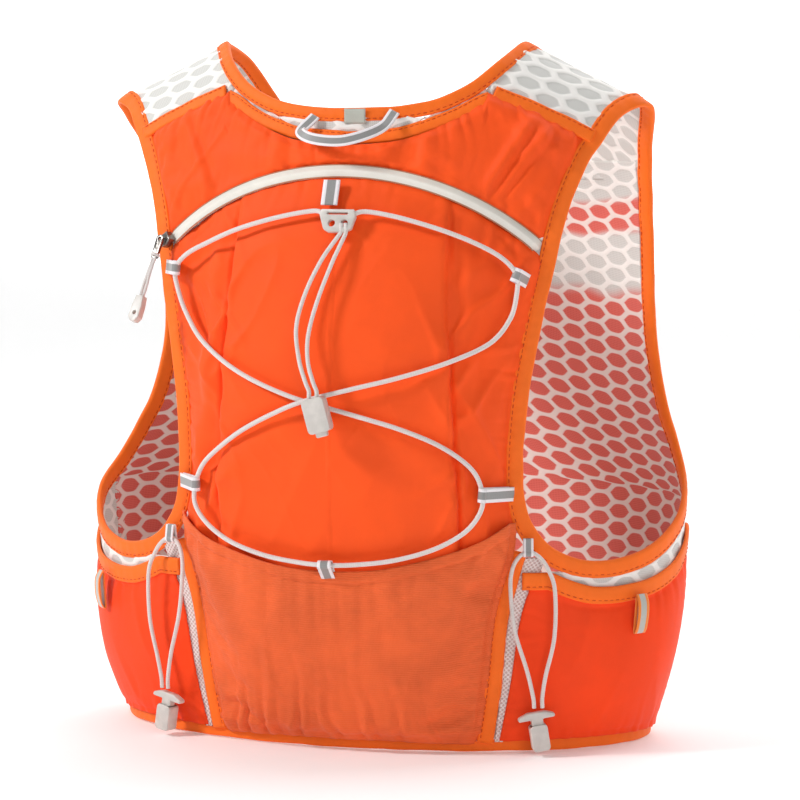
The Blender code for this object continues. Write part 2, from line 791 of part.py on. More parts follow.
def side_spacer(name, sign):
    def surface(u, v):
        z = INSET + v * (SPACER_TOP - INSET)
        return on_form(spacer_angle(z, u), z) * [sign, 1, 1]
    skin(name, surface, 1, 8, -0.0010, 0.0016, mesh_fabric())


def side_start(z):
    return spacer_angle(np.minimum(z, SPACER_TOP), 1.0) + 0.006


def side_panel(name, sign):
    """The mesh lining of the side, under the armhole."""
    def surface(u, v):
        angle = side_start(INSET + 0 * u) + u * (SIDE_SEAM - 0.008 - side_start(INSET + 0 * u))
        top = armhole_bottom(np.degrees(angle)) - CLEARANCE
        z = INSET + v * (top - INSET)
        start = side_start(z)
        angle = start + u * (SIDE_SEAM - 0.008 - start)
        return on_form(angle, z) * [sign, 1, 1]
    skin(name, surface, 8, 7, MESH_LOW, MESH_HIGH, mesh_fabric())


side_pocket_top = graph(SIDE_POCKET_TOP)
POCKET_FOLD = 0.0012


def side_pocket_chart(u, v, top_drop):
    start = side_start(0.05)
    angle = start + u * (SIDE_SEAM - 0.008 - start)
    top = side_pocket_top(np.degrees(angle)) - top_drop
    z = INSET + v * (top - INSET)
    edge = side_start(z)
    return edge + u * (SIDE_SEAM - 0.008 - edge), z


def side_pocket(name, sign):
    def surface(u, v):
        angle, z = side_pocket_chart(u, v, 1.15 * INSET + 2 * CLEARANCE)
        points = on_form(angle, z)
        fullness = SIDE_FULLNESS * np.sin(math.pi * u) ** 0.6 * np.sin(math.pi * np.clip(v, 0, 1)) ** 0.6
        points = points + outward(points) * (OUTER_BASE + fullness)[..., None]
        return points * [sign, 1, 1]
    skin(name, surface, 12, 7, 0.0, FABRIC, fabric())


def side_pocket_binding(name, sign):
    u = np.linspace(0, 1, 20)
    angle, z = side_pocket_chart(u, np.ones_like(u), 0.0)
    route = on_form(angle, z) * [sign, 1, 1]
    tape(name, route, -sign, tape_fabric(), lift=OUTER_BASE + 0.0010, half=0.0013)


def flask_pocket(name, sign):
    """The front pocket for a soft flask, a shell open at its top."""
    def surface(u, v):
        z = INSET + v * (FLASK_TOP_OUTER + u * (FLASK_TOP_INNER - FLASK_TOP_OUTER) - INSET)
        inner = angle_of(front_edge(z) + INSET + 0.002, z, True)
        outer = angle_of(0.1360 + 0 * z, z, True)
        points = on_form(outer + u * (inner - outer), z)
        mouth = FLASK_MOUTH + (1 - FLASK_MOUTH) * ease((1 - v) / 0.45)
        fullness = FLASK_FULLNESS * np.sin(math.pi * u) ** 0.5 * ease(v / 0.35) * mouth
        points = points + outward(points) * (OUTER_BASE + fullness)[..., None]
        return points * [sign, 1, 1]
    skin(name, surface, 12, 9, 0.0, FABRIC, fabric())


# ------------------------------------------------------------------ loops, ribbons, cords

def on_compartment(x, z, lift=0.0):
    """Point over the loaded compartment's outer face."""
    foot = on_back(np.asarray(x, float), np.asarray(z, float))
    return foot + outward(foot) * (loaded(np.asarray(x), np.asarray(z)) + FABRIC + lift)[..., None]


UPPER_LOOP = (0.0955, 0.271)
LOWER_LOOP = (0.0800, 0.150)
BOTTOM_LOOP = (0.0, 0.1125)
HOOK_AT = (0.002, 0.300)
LOCK_TOP = (-0.0044, 0.2042)
LOCK_BOTTOM = (0.0002, 0.1858)
POCKET_EXTRA = POCKET_GAP + 0.0008

# The bungee's route over the compartment, one strand each way across, as (x, height)
BUNGEE_ROUTE = [
    (-0.0120, 0.3050), (-0.0320, 0.3010), (-0.0550, 0.2940), (-0.0740, 0.2860), (-0.0880, 0.2790),
    (-0.0955, 0.2710), (-0.0955, 0.2620), (-0.0890, 0.2470), (-0.0740, 0.2310), (-0.0500, 0.2160),
    (-0.0200, 0.2040), (0.0130, 0.1950), (0.0390, 0.1870), (0.0600, 0.1770), (0.0750, 0.1640),
    (0.0800, 0.1500), (0.0780, 0.1400), (0.0700, 0.1300), (0.0550, 0.1215), (0.0350, 0.1155),
    (0.0150, 0.1128), (0.0, 0.1125), (-0.0150, 0.1128), (-0.0350, 0.1155), (-0.0550, 0.1215),
    (-0.0700, 0.1300), (-0.0780, 0.1400), (-0.0800, 0.1500), (-0.0750, 0.1620), (-0.0640, 0.1720),
    (-0.0480, 0.1835), (-0.0300, 0.1935), (-0.0120, 0.2015), (0.0120, 0.2085), (0.0380, 0.2155),
    (0.0630, 0.2240), (0.0830, 0.2340), (0.0930, 0.2470), (0.0960, 0.2600), (0.0955, 0.2710),
    (0.0880, 0.2800), (0.0740, 0.2880), (0.0550, 0.2955), (0.0330, 0.3020), (0.0160, 0.3050),
]
CROSSING = (-0.0010, 0.2045)
CROSSING_STRAND = 28
LOOP_LIFT = 0.0034
LOOP_SLACK = 0.0018


def bungee_points():
    """The bungee's route in space; its second strand rides over the first where they cross."""
    points = []
    for index, (x, z) in enumerate(BUNGEE_ROUTE):
        lift = CORD_GAP + BUNGEE / 2
        if z < 0.145:
            lift += POCKET_EXTRA
        nearest = min(math.dist((abs(x), z), spot) for spot in (UPPER_LOOP, LOWER_LOOP, BOTTOM_LOOP))
        lift += LOOP_LIFT * math.exp(-(nearest / 0.014) ** 2)
        if index > CROSSING_STRAND:
            away = math.dist((x, z), CROSSING)
            lift += (BUNGEE + 2 * CORD_GAP) * math.exp(-(away / 0.020) ** 2)
        points.append(on_compartment(x, z, lift))
    return np.array(points)


def bungee():
    cord("bungee", bungee_points(), BUNGEE, cord_fabric())


LOOP_WALL = 0.0007


def ribbon_loop(name, centre, along, toward, hole_radius, reach, width):
    """A ribbon folded round a cord: a hairpin in section, its legs meeting at the seam."""
    outer_radius = hole_radius + LOOP_WALL
    near = 0.72 * outer_radius
    outline = arc((0, 0), outer_radius, 60, 300, 9) + [(reach, -near), (reach, near)]
    inner = [(reach - 0.0012, near - LOOP_WALL), (reach - 0.0012, LOOP_WALL - near)]
    hole = arc((0, 0), hole_radius, 60, 300, 9) + inner[::-1]
    along = Vector(along).normalized()
    toward = Vector(toward)
    toward = (toward - along * toward.dot(along)).normalized()
    place = facing(centre, along, along.cross(toward))
    plate(name, outline, [hole], width, place, ribbon_fabric())


def cord_loops():
    """The five ribbon loops that hold the bungee to the compartment."""
    points = smooth(bungee_points(), 900)
    spots = {
        "cord_loop_upper_left": (-UPPER_LOOP[0], UPPER_LOOP[1], (-1, 0, 0), 0.0068),
        "cord_loop_upper_right": (UPPER_LOOP[0], UPPER_LOOP[1], (1, 0, 0), 0.0068),
        "cord_loop_lower_left": (-LOWER_LOOP[0], LOWER_LOOP[1], (-1, 0, 0), 0.0100),
        "cord_loop_lower_right": (LOWER_LOOP[0], LOWER_LOOP[1], (1, 0, 0), 0.0100),
        "cord_loop_bottom": (BOTTOM_LOOP[0], BOTTOM_LOOP[1], (0, 0, -1), 0.0060),
    }
    for name, (x, z, toward, reach) in spots.items():
        nearest = int(np.argmin((points[:, 0] - x) ** 2 + (points[:, 2] - z) ** 2))
        along = points[nearest + 3] - points[nearest - 3]
        ribbon_loop(name, points[nearest], along, toward, BUNGEE / 2 + LOOP_SLACK, reach, 0.0080)


def hang_loop():
    """A ribbon from the neck binding, out over the yoke and back."""
    line = [(-0.0215, 0.3560), (-0.0265, 0.3500), (-0.0225, 0.3440), (-0.0120, 0.3405),
            (0.0020, 0.3400), (0.0150, 0.3440), (0.0240, 0.3500), (0.0280, 0.3560)]
    lifts = [0.0042, 0.0100, 0.0150, 0.0175, 0.0175, 0.0150, 0.0100, 0.0042]
    feet = np.array([on_back(np.float64(x), np.float64(z)) for x, z in line])
    route = smooth(feet + outward(feet) * np.array(lifts)[:, None], 24)
    tape("hang_loop", route, 1, ribbon_fabric(), width=0.0062, half=0.0004)


def hook_ribbon():
    """The ribbon that hangs the hook from the zip's lower edge."""
    z = np.linspace(0.3205, 0.3105, 5)
    route = on_compartment(-0.0090 + 0 * z, z, 0.0012)
    tape("hook_ribbon", route, 1, ribbon_fabric(), width=0.0100, half=0.0004)


HOOK_THICKNESS = 0.0036
HOOK_AXIS_Z = 0.3085


def hook_place():
    centre = on_compartment(HOOK_AT[0], HOOK_AT[1], 0.0016 + HOOK_THICKNESS / 2)
    above = on_compartment(HOOK_AT[0], HOOK_AXIS_Z, 0.0016 + HOOK_THICKNESS / 2)
    face = np.cross([1.0, 0, 0], above - centre)
    face *= np.sign(np.dot(face, outward(centre)))
    return facing(centre, face, above - centre)


def hook():
    """The flat hook: a rounded trapezoid with a slot and two cord holes."""
    corners = [(-0.0095, 0.0060), (-0.0105, 0.0030), (-0.0075, -0.0055), (-0.0050, -0.0070),
               (0.0050, -0.0070), (0.0085, -0.0050), (0.0105, 0.0020), (0.0095, 0.0060)]
    slot = [(-0.0060, 0.0030), (-0.0060, 0.0042), (0.0060, 0.0042), (0.0060, 0.0030)]
    holes = [arc((-0.0030, -0.0020), 0.0021, 0, 330, 10), arc((0.0045, -0.0020), 0.0021, 0, 330, 10)]
    plate("hook", corners, [slot, *holes], HOOK_THICKNESS, hook_place(), plastic())


def lock_axis():
    """Top and bottom of the centre cord lock, and its face direction."""
    lift = BUNGEE + 4 * CORD_GAP + 0.0060
    top = on_compartment(*LOCK_TOP, lift + 0.0005)
    bottom = on_compartment(*LOCK_BOTTOM, lift)
    return top, bottom


def tail_cord(name, points, end_shift):
    """A free end of the bungee, from under the hook to the top of the cord lock."""
    top, _ = lock_axis()
    route = [on_compartment(x, z, lift) for x, z, lift in points]
    route.append(top + np.array([end_shift, 0, 0.0040]))
    route.append(top + np.array([end_shift, 0, 0.0014]))
    cord(name, route, SIDE_CORD, cord_fabric())


def tail_cords():
    left = [(0.0028, 0.2905, 0.0040), (-0.0042, 0.2780, 0.0050), (-0.0115, 0.2600, 0.0055),
            (-0.0150, 0.2420, 0.0070), (-0.0125, 0.2250, 0.0090), (-0.0080, 0.2125, 0.0115)]
    right = [(0.0062, 0.2905, 0.0040), (0.0012, 0.2760, 0.0050), (-0.0050, 0.2560, 0.0055),
             (-0.0085, 0.2380, 0.0070), (-0.0078, 0.2240, 0.0090), (-0.0042, 0.2130, 0.0115)]
    tail_cord("tail_cord_left", left, -0.0022)
    tail_cord("tail_cord_right", right, 0.0022)


LOCK_WIDTH = 0.0128
LOCK_DEPTH = 0.0084
BUTTON_WIDTH = 0.0066
BUTTON_DEPTH = 0.0044
BUTTON_OUT = 0.0026
BUTTON_IN = 0.0040
BUTTON_TRAVEL = 0.0025
BUTTON_GAP = 0.0004


def lock_with_button(body_name, button_name, place, length):
    """A cord lock body along local Y with a sprung button in its lower end."""
    body = plate(body_name, rounded_box(LOCK_WIDTH, length, 0.0024), [], LOCK_DEPTH, place, plastic())
    pocket = BUTTON_IN + BUTTON_TRAVEL + BUTTON_GAP
    cut_size = (BUTTON_WIDTH + 2 * BUTTON_GAP, 2 * pocket, BUTTON_DEPTH + 2 * BUTTON_GAP)
    shape = bmesh.new()
    bmesh.ops.create_cube(shape, size=1, matrix=Matrix.Diagonal((*cut_size, 1)))
    cutter = add_mesh(body_name + "_pocket", shape, plastic(),
                      place @ Matrix.Translation((0, -length / 2, 0)))
    subtract(body, cutter)
    size = (BUTTON_WIDTH, BUTTON_IN + BUTTON_OUT, BUTTON_DEPTH)
    shape = bmesh.new()
    bmesh.ops.create_cube(shape, size=1, matrix=Matrix.Diagonal((*size, 1)))
    bmesh.ops.bevel(shape, geom=shape.edges[:], offset=0.0006, segments=1, affect="EDGES")
    middle = -length / 2 + (BUTTON_IN - BUTTON_OUT) / 2
    add_mesh(button_name, shape, plastic(), place @ Matrix.Translation((0, middle, 0)))


def centre_lock():
    top, bottom = lock_axis()
    face = outward((top + bottom) / 2)
    place = facing((top + bottom) / 2, face, top - bottom)
    lock_with_button("cord_lock", "cord_lock_button", place, float(np.linalg.norm(top - bottom)))


SIDE_LIFT = 0.0135
SIDE_LOCK_LENGTH = 0.0150
STEM_HALF = 0.0034
STEM_IN = 0.0040
HEAD_HALF = 0.0105
HEAD_DEPTH = 0.0050


def side_point(sign, x, z, lift):
    foot = on_back(np.float64(x), np.float64(z))
    return (foot + outward(foot) * lift) * [sign, 1, 1]


SIDE_CORD_ROUTES = {
    "right": [(0.1035, 0.1170, 0.0064), (0.0985, 0.1140, 0.0070), (0.0950, 0.1070, 0.0085),
              (0.0940, 0.0960, 0.0100),
              (0.0955, 0.0740, 0.0120), (0.1010, 0.0510, 0.0130), (0.1035, 0.0360, 0.0135),
              (0.1038, 0.0296, 0.0135)],
    "right_outer": [(0.1088, 0.1145, 0.0070), (0.1130, 0.1080, 0.0085), (0.1160, 0.0960, 0.0110),
                    (0.1150, 0.0700, 0.0125), (0.1100, 0.0480, 0.0135), (0.1080, 0.0360, 0.0135),
                    (0.1078, 0.0296, 0.0135)],
}


def side_cord(name, sign):
    """The loop of cord at one side: down the inner leg is one end, the outer leg the other."""
    inner = SIDE_CORD_ROUTES["right"][::-1]
    outer = SIDE_CORD_ROUTES["right_outer"]
    route = [side_point(sign, *p) for p in inner] + [side_point(sign, *p) for p in outer]
    cord(name, route, SIDE_CORD, cord_fabric())


def side_cord_ribbon(name, sign):
    centre = side_point(sign, 0.1036, 0.1166, 0.0064)
    ribbon_loop(name, centre, (sign, 0.35, 0.0), (0, 0, 1), SIDE_CORD / 2 + LOOP_SLACK, 0.0065, 0.0048)


def side_lock(side, sign):
    """The side cord lock: a small body with a wide-headed button in its top."""
    middle = side_point(sign, 0.1058, 0.0125, SIDE_LIFT)
    face = outward(middle) * [1, 1, 0]
    place = facing(middle, face, (sign * -0.18, 0, 1))
    length = SIDE_LOCK_LENGTH
    outline = rounded_box(0.0100, length, 0.0020)
    body = plate(f"side_lock_{side}", outline, [], 0.0085, place, plastic())
    stem_depth = STEM_IN + BUTTON_TRAVEL + BUTTON_GAP
    cut_size = (2 * STEM_HALF + 2 * BUTTON_GAP, 2 * stem_depth, HEAD_DEPTH + 2 * BUTTON_GAP)
    shape = bmesh.new()
    bmesh.ops.create_cube(shape, size=1, matrix=Matrix.Diagonal((*cut_size, 1)))
    cutter = add_mesh(f"side_lock_pocket_{side}", shape, plastic(),
                      place @ Matrix.Translation((0, length / 2, 0)))
    subtract(body, cutter)
    under = BUTTON_TRAVEL + 1.5 * BUTTON_GAP
    half = [(STEM_HALF, -STEM_IN), (STEM_HALF, under), (HEAD_HALF, under), (HEAD_HALF, under + 0.0021),
            (0.48 * HEAD_HALF, under + 0.0041)]
    outline = half + [(-x, y) for x, y in half[::-1]]
    above = place @ Matrix.Translation((0, length / 2, 0))
    plate(f"side_lock_button_{side}", outline, [], HEAD_DEPTH, above, plastic())


# ------------------------------------------------------------------ the zip's slider and its pull

ZIP_REST = -math.asin(0.1085 / ZIP_RADIUS)
SLIDER_HEIGHT = 0.0046
PULL_RISE = 0.0023
PULL_LENGTH = 0.050
PULL_END_LIFT = 0.0290
PULL_END_SHIFT = 0.0015


def slider_place(lift):
    """Local Z off the tape, local Y along the zip towards its left end."""
    spot = zip_point(ZIP_REST, 0.0, lift)
    face = zip_point(ZIP_REST, 0.0, lift + 0.01) - spot
    along = zip_point(ZIP_REST - 0.01, 0.0, lift) - spot
    return facing(spot, face, along)


def zip_slider():
    low = ZIP_THICKNESS / 2 + CLEARANCE
    outline = [(-0.0030, -0.0040), (0.0030, -0.0040), (0.0038, 0.0010), (0.0024, 0.0045),
               (-0.0024, 0.0045), (-0.0038, 0.0010)]
    plate("zip_slider", outline, [], SLIDER_HEIGHT, slider_place(low + SLIDER_HEIGHT / 2),
          material("dark_nickel", NICKEL, 0.35, 0.9))


def pull_frame():
    """Top of the pull on the slider's outer face, the way it hangs and the way it faces."""
    top = zip_point(ZIP_REST, 0.0, ZIP_THICKNESS / 2 + CLEARANCE + SLIDER_HEIGHT + PULL_RISE)
    foot = on_back(top[0] + PULL_END_SHIFT, top[2] - PULL_LENGTH)
    down = foot + outward(foot) * PULL_END_LIFT - top
    down /= np.linalg.norm(down)
    face = np.cross(down, np.cross(outward(top), down))
    return top, down, face / np.linalg.norm(face)


def zip_pull():
    """The metal puller, the doubled cord on it and the moulded end."""
    top, down, face = pull_frame()
    ring = arc((0, 0), 0.0026, 20, 160, 5) + [(-0.0020, -0.0120), (0.0020, -0.0120)]
    hole = arc((0, 0.0001), 0.0014, 0, 315, 8)
    eye = arc((0, -0.0098), 0.0011, 0, 315, 8)
    place = facing(top + down * 0.0005, face, -down)
    plate("zip_puller", ring, [hole, eye], 0.0016, place, material("dark_nickel", NICKEL, 0.35, 0.9))
    start = top + down * 0.0130
    route = [start, start + down * 0.006 + face * 0.0004, start + down * 0.014, start + down * 0.0225]
    cord("pull_cord", route, 2 * PULL_CORD, cord_fabric())
    tip = start + down * 0.0232
    outline = [(-0.0024, 0.0), (-0.0034, -0.0060), (-0.0036, -0.0130), (-0.0016, -0.0155),
               (0.0016, -0.0155), (0.0036, -0.0130), (0.0034, -0.0060), (0.0024, 0.0)]
    end_hole = arc((0, -0.0105), 0.0013, 0, 315, 8)
    plate("pull_tip", outline, [end_hole], 0.0044, facing(tip, face, -down), plastic())


# ------------------------------------------------------------------ sternum strap

STRAP_ANCHOR = (0.0745, 0.300)
STRAP_LENGTH = 0.046
STRAP_WIDTH = 0.0150
STRAP_THICKNESS = 0.0014
STRAP_LIFT = 0.0048


def strap_place(sign):
    """Local Z out of the strap's face, local Y up the strap to its sewn end."""
    foot = on_front(np.float64(STRAP_ANCHOR[0]), np.float64(STRAP_ANCHOR[1])) * [sign, 1, 1]
    face = outward(foot)
    return facing(foot + face * STRAP_LIFT, face, (0, 0, 1))


def sternum_strap(side, sign):
    place = strap_place(sign)
    strip = rounded_box(STRAP_WIDTH, STRAP_LENGTH, 0.002, 3)
    strip = [(x, y - STRAP_LENGTH / 2 + 0.006) for x, y in strip]
    plate(f"sternum_strap_{side}", strip, [], STRAP_THICKNESS, place, tape_fabric())
    end = -STRAP_LENGTH + 0.006 - CLEARANCE
    below = place @ Matrix.Translation((0, end, 0))
    if sign > 0:
        outline = [(-0.0105, 0), (-0.0105, -0.0070), (-0.0085, -0.0090), (-0.0095, -0.0190),
                   (-0.0060, -0.0190), (-0.0050, -0.0100), (-0.0015, -0.0100), (-0.0015, -0.0170),
                   (0.0015, -0.0170), (0.0015, -0.0100), (0.0050, -0.0100), (0.0060, -0.0190),
                   (0.0095, -0.0190), (0.0085, -0.0090), (0.0105, -0.0070), (0.0105, 0)]
        slot = [(-0.0080, -0.0030), (-0.0080, -0.0055), (0.0080, -0.0055), (0.0080, -0.0030)]
        plate("buckle_male", outline, [slot], 0.0042, below, plastic())
        return
    outline = rounded_box(0.0225, 0.0240, 0.004)
    outline = [(x, y - 0.0120) for x, y in outline]
    slot = [(-0.0080, -0.0030), (-0.0080, -0.0055), (0.0080, -0.0055), (0.0080, -0.0030)]
    body = plate("buckle_female", outline, [slot], 0.0094, below, plastic())
    shape = bmesh.new()
    bmesh.ops.create_cube(shape, size=1, matrix=Matrix.Diagonal((0.0190, 0.0260, 0.0066, 1)))
    cutter = add_mesh("buckle_mouth", shape, plastic(), below @ Matrix.Translation((0, -0.0215, 0)))
    subtract(body, cutter)


# ------------------------------------------------------------------ the whole pack

def main():
    for old in list(bpy.data.objects):
        bpy.data.objects.remove(old)
    back_panel()
    main_compartment()
    yoke()
    mesh_pocket()
    neck_mesh()
    zip_tape()
    reservoir()
    reservoir_cap()
    neck_binding()
    yoke_binding()
    hem_binding()
    bungee()
    cord_loops()
    hang_loop()
    hook_ribbon()
    hook()
    tail_cords()
    centre_lock()
    zip_slider()
    zip_pull()
    for side, sign in (("left", -1), ("right", 1)):
        shoulder_band(f"shoulder_band_{side}", sign)
        shoulder_mesh(f"shoulder_mesh_{side}", sign)
        armhole_binding(f"armhole_binding_{side}", sign)
        side_edge_binding(f"side_edge_binding_{side}", sign)
        side_spacer(f"side_spacer_{side}", sign)
        side_panel(f"side_panel_{side}", sign)
        side_pocket(f"side_pocket_{side}", sign)
        side_pocket_binding(f"side_pocket_binding_{side}", sign)
        front_panel(f"front_panel_{side}", sign)
        flask_pocket(f"flask_pocket_{side}", sign)
        side_cord(f"side_cord_{side}", sign)
        side_cord_ribbon(f"side_cord_ribbon_{side}", sign)
        side_lock(side, sign)
        sternum_strap(side, sign)


main()
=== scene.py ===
"""Looks of a running hydration vest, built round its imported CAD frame.

Metres, +Z up, the wearer's back faces -Y and the wearer's right side is +X. Every fabric piece is
laid on the same body form as the CAD solids, finer, with its folds, seams and weave.
"""

import math
from types import SimpleNamespace

import bmesh
import bpy
import numpy as np
from mathutils import Matrix, Vector


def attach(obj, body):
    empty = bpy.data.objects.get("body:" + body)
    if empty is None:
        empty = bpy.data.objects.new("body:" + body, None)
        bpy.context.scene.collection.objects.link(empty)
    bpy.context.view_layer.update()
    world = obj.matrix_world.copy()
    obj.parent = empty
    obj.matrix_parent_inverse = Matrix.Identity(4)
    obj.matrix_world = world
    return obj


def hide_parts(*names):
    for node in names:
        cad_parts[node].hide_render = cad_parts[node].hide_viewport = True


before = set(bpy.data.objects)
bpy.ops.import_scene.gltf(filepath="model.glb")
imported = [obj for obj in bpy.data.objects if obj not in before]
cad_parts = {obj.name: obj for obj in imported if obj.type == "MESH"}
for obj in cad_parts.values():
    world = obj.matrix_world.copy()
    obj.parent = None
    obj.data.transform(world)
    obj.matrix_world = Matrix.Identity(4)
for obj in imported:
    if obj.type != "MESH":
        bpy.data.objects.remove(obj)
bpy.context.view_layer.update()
scene = bpy.context.scene

# ------------------------------------------------------------------ the body form (as in the CAD)

FORM_CENTRE_Y = 0.0098
WIDEST_HEIGHT = 0.17
HALF_WIDTH = 0.1785
HEM_HALF_WIDTH = 0.157
SHOULDER_HALF_WIDTH = 0.185
HALF_DEPTH = 0.095
HEM_DEPTH_LOSS = 0.0115
SHOULDER_DEPTH_LOSS = 0.008
SHOULDER_SPAN = 0.2
RIDGE_HEIGHT = 0.4367
RIDGE_SLOPE = 0.515
RIDGE_ROUNDING = 0.02
RIDGE_SHIFT = 0.020
RIDGE_SHIFT_HEIGHT = 0.4
SHOULDER_POWER = 3.7

TAPE_WIDTH = 0.0100
NECK_TAPE = 0.0080
YOKE_TAPE = 0.0075
TAPE_HALF = 0.0018
CLEARANCE = 0.0006
INSET = TAPE_WIDTH + CLEARANCE
FABRIC = 0.0012
OUTER_BASE = 0.0016
POCKET_GAP = 0.0024
POCKET_EXTRA = POCKET_GAP + 0.0008

BACK_EDGE = [
    (0.0, 0.0825), (0.04, 0.0890), (0.075, 0.0930), (0.098, 0.0985), (0.118, 0.1040),
    (0.134, 0.1045), (0.148, 0.1020), (0.160, 0.1015), (0.180, 0.1025), (0.205, 0.1045),
    (0.240, 0.1100), (0.266, 0.1148), (0.300, 0.1210), (0.330, 0.1300), (0.352, 0.1380),
]
YOKE_LINE = [(0.0, 0.3470), (0.030, 0.3495), (0.056, 0.3585), (0.075, 0.3690)]
NECK_LINE = [(0.0, 0.3640), (0.040, 0.3670), (0.064, 0.3770), (0.079, 0.3905), (0.0875, 0.4000)]
POCKET_LINE = [(0.0, 0.1080), (0.030, 0.1105), (0.072, 0.1220), (0.093, 0.1330)]
SHOULDER_LINE = [(0.075, 0.3740), (0.105, 0.3615), (0.137, 0.3460)]
BULGE = [(0.0, 0.0), (0.03, 0.006), (0.06, 0.012), (0.12, 0.0200), (0.20, 0.0235), (0.27, 0.0190),
         (0.305, 0.0120), (0.335, 0.0050), (0.40, 0.0)]
ZIP_APEX = (0.0, -0.0895, 0.329)
ZIP_HALF_CHORD = 0.108
ZIP_DROP = 0.0415
ZIP_RISE_Y = 0.019
ZIP_CONE = math.radians(40)
ZIP_WIDTH = 0.0076
ARMHOLE_BACK = [
    (0.1480, 0.3600), (0.1375, 0.3440), (0.1300, 0.3290), (0.1215, 0.3020), (0.1148, 0.2660),
    (0.1095, 0.2360), (0.1045, 0.2050), (0.1022, 0.1760), (0.1020, 0.1540), (0.1045, 0.1380),
    (0.1095, 0.1270), (0.1190, 0.1170), (0.1340, 0.1105), (0.1510, 0.1105), (0.1650, 0.1160),
    (0.1745, 0.1260),
]
ARMHOLE_FRONT = [(0.1740, 0.1520), (0.1660, 0.1720), (0.1585, 0.1930), (0.1530, 0.2220),
                 (0.1515, 0.2500), (0.1520, 0.2800), (0.1530, 0.3090), (0.1550, 0.3380)]
ARMHOLE_RIDGE = 0.161
FRONT_EDGE = [(0.0, 0.0260), (0.10, 0.0270), (0.20, 0.0285), (0.25, 0.0340), (0.30, 0.0470),
              (0.335, 0.0620), (0.368, 0.0760), (0.390, 0.0850)]
NECK_RIDGE = 0.0900
SIDE_SEAM = math.radians(100)
FRONT_TOP = 0.330
SIDE_POCKET_TOP = [(38, 0.1045), (48, 0.0965), (60, 0.0955), (72, 0.0995), (84, 0.1090), (99, 0.1230)]
FLASK_TOP_OUTER = 0.262
FLASK_TOP_INNER = 0.214
FLASK_FULLNESS = 0.024
FLASK_MOUTH = 0.72
SIDE_FULLNESS = 0.0060

SIDES = (("left", -1), ("right", 1))
BUNGEE = 0.0027
SIDE_CORD = 0.0024
CORD_GAP = 0.0004


def half_width(z):
    z = np.asarray(z, float)
    low = HALF_WIDTH - (HALF_WIDTH - HEM_HALF_WIDTH) * (1 - np.minimum(z / WIDEST_HEIGHT, 1)) ** 2
    rise = np.maximum(z - WIDEST_HEIGHT, 0) / (RIDGE_HEIGHT - WIDEST_HEIGHT)
    return low + (SHOULDER_HALF_WIDTH - HALF_WIDTH) * rise ** 2


def half_depth(z):
    z = np.asarray(z, float)
    low = HALF_DEPTH - HEM_DEPTH_LOSS * (1 - np.minimum(z / WIDEST_HEIGHT, 1)) ** 2
    return low - SHOULDER_DEPTH_LOSS * (np.maximum(z - WIDEST_HEIGHT, 0) / SHOULDER_SPAN) ** 2


def centre_y(z):
    return FORM_CENTRE_Y - RIDGE_SHIFT * (np.maximum(z, 0) / RIDGE_SHIFT_HEIGHT) ** 3


def ridge(x):
    x = np.asarray(x, float)
    return RIDGE_HEIGHT - RIDGE_SLOPE * (np.sqrt(x * x + RIDGE_ROUNDING ** 2) - RIDGE_ROUNDING)


def closing(x, z):
    return np.sqrt(np.maximum(1 - (np.maximum(z, 0) / ridge(x)) ** SHOULDER_POWER, 0))


def on_form(angle, z):
    angle, z = np.broadcast_arrays(np.asarray(angle, float), np.asarray(z, float))
    x = half_width(z) * np.sin(angle)
    y = centre_y(z) - half_depth(z) * np.cos(angle) * closing(x, z)
    return np.stack([x, y, z], -1)


def angle_of(x, z, front=False):
    turned = np.arcsin(np.clip(np.asarray(x, float) / half_width(z), -1, 1))
    return np.where(turned < 0, -math.pi, math.pi) - turned if front else turned


def on_back(x, z):
    return on_form(angle_of(x, z), z)


def on_front(x, z):
    return on_form(angle_of(x, z, True), z)


def over_shoulder(x, tilt):
    z = ridge(x) * np.cos(tilt) ** (2 / SHOULDER_POWER)
    depth = half_depth(z) * np.sqrt(np.maximum(1 - (x / half_width(z)) ** 2, 0))
    return np.stack([x, centre_y(z) + depth * np.sin(tilt), z], -1)


def outward(points):
    points = np.asarray(points, float)
    step = 1e-5

    def level(p):
        x, y, z = p[..., 0], p[..., 1], p[..., 2]
        plan = 1 - (x / half_width(z)) ** 2
        top = 1 - (np.maximum(z, 0) / ridge(x)) ** SHOULDER_POWER
        return ((y - centre_y(z)) / half_depth(z)) ** 2 - plan * top

    slope = [level(points + step * e) - level(points - step * e) for e in np.eye(3)]
    slope = np.stack(slope, -1)
    return slope / np.linalg.norm(slope, axis=-1, keepdims=True)


def run_along(points):
    """Length along a line at each of its points."""
    return np.concatenate([[0], np.cumsum(np.linalg.norm(np.diff(points, axis=0), axis=1))])


def smooth(points, count, closed=False):
    """An even spacing of points on a curve through the given ones."""
    points = np.asarray(points, float)
    if closed:
        around = np.vstack([points[-1], points, points[0], points[1]])
    else:
        around = np.vstack([2 * points[0] - points[1], points, 2 * points[-1] - points[-2]])
    t = np.linspace(0, 1, 24, endpoint=False)[:, None]
    pieces = []
    for a, b, c, d in zip(around, around[1:], around[2:], around[3:]):
        pieces.append(0.5 * (2 * b + (c - a) * t + (2 * a - 5 * b + 4 * c - d) * t ** 2
                             + (3 * b - a - 3 * c + d) * t ** 3))
    dense = np.vstack(pieces + [points[:1] if closed else points[-1:]])
    run = run_along(dense)
    wanted = np.linspace(0, run[-1], count + 1 if closed else count)
    if closed:
        wanted = wanted[:-1]
    return np.stack([np.interp(wanted, run, dense[:, k]) for k in range(points.shape[1])], -1)


def graph(points):
    dense = smooth(points, 160)
    return lambda t: np.interp(t, dense[:, 0], dense[:, 1])


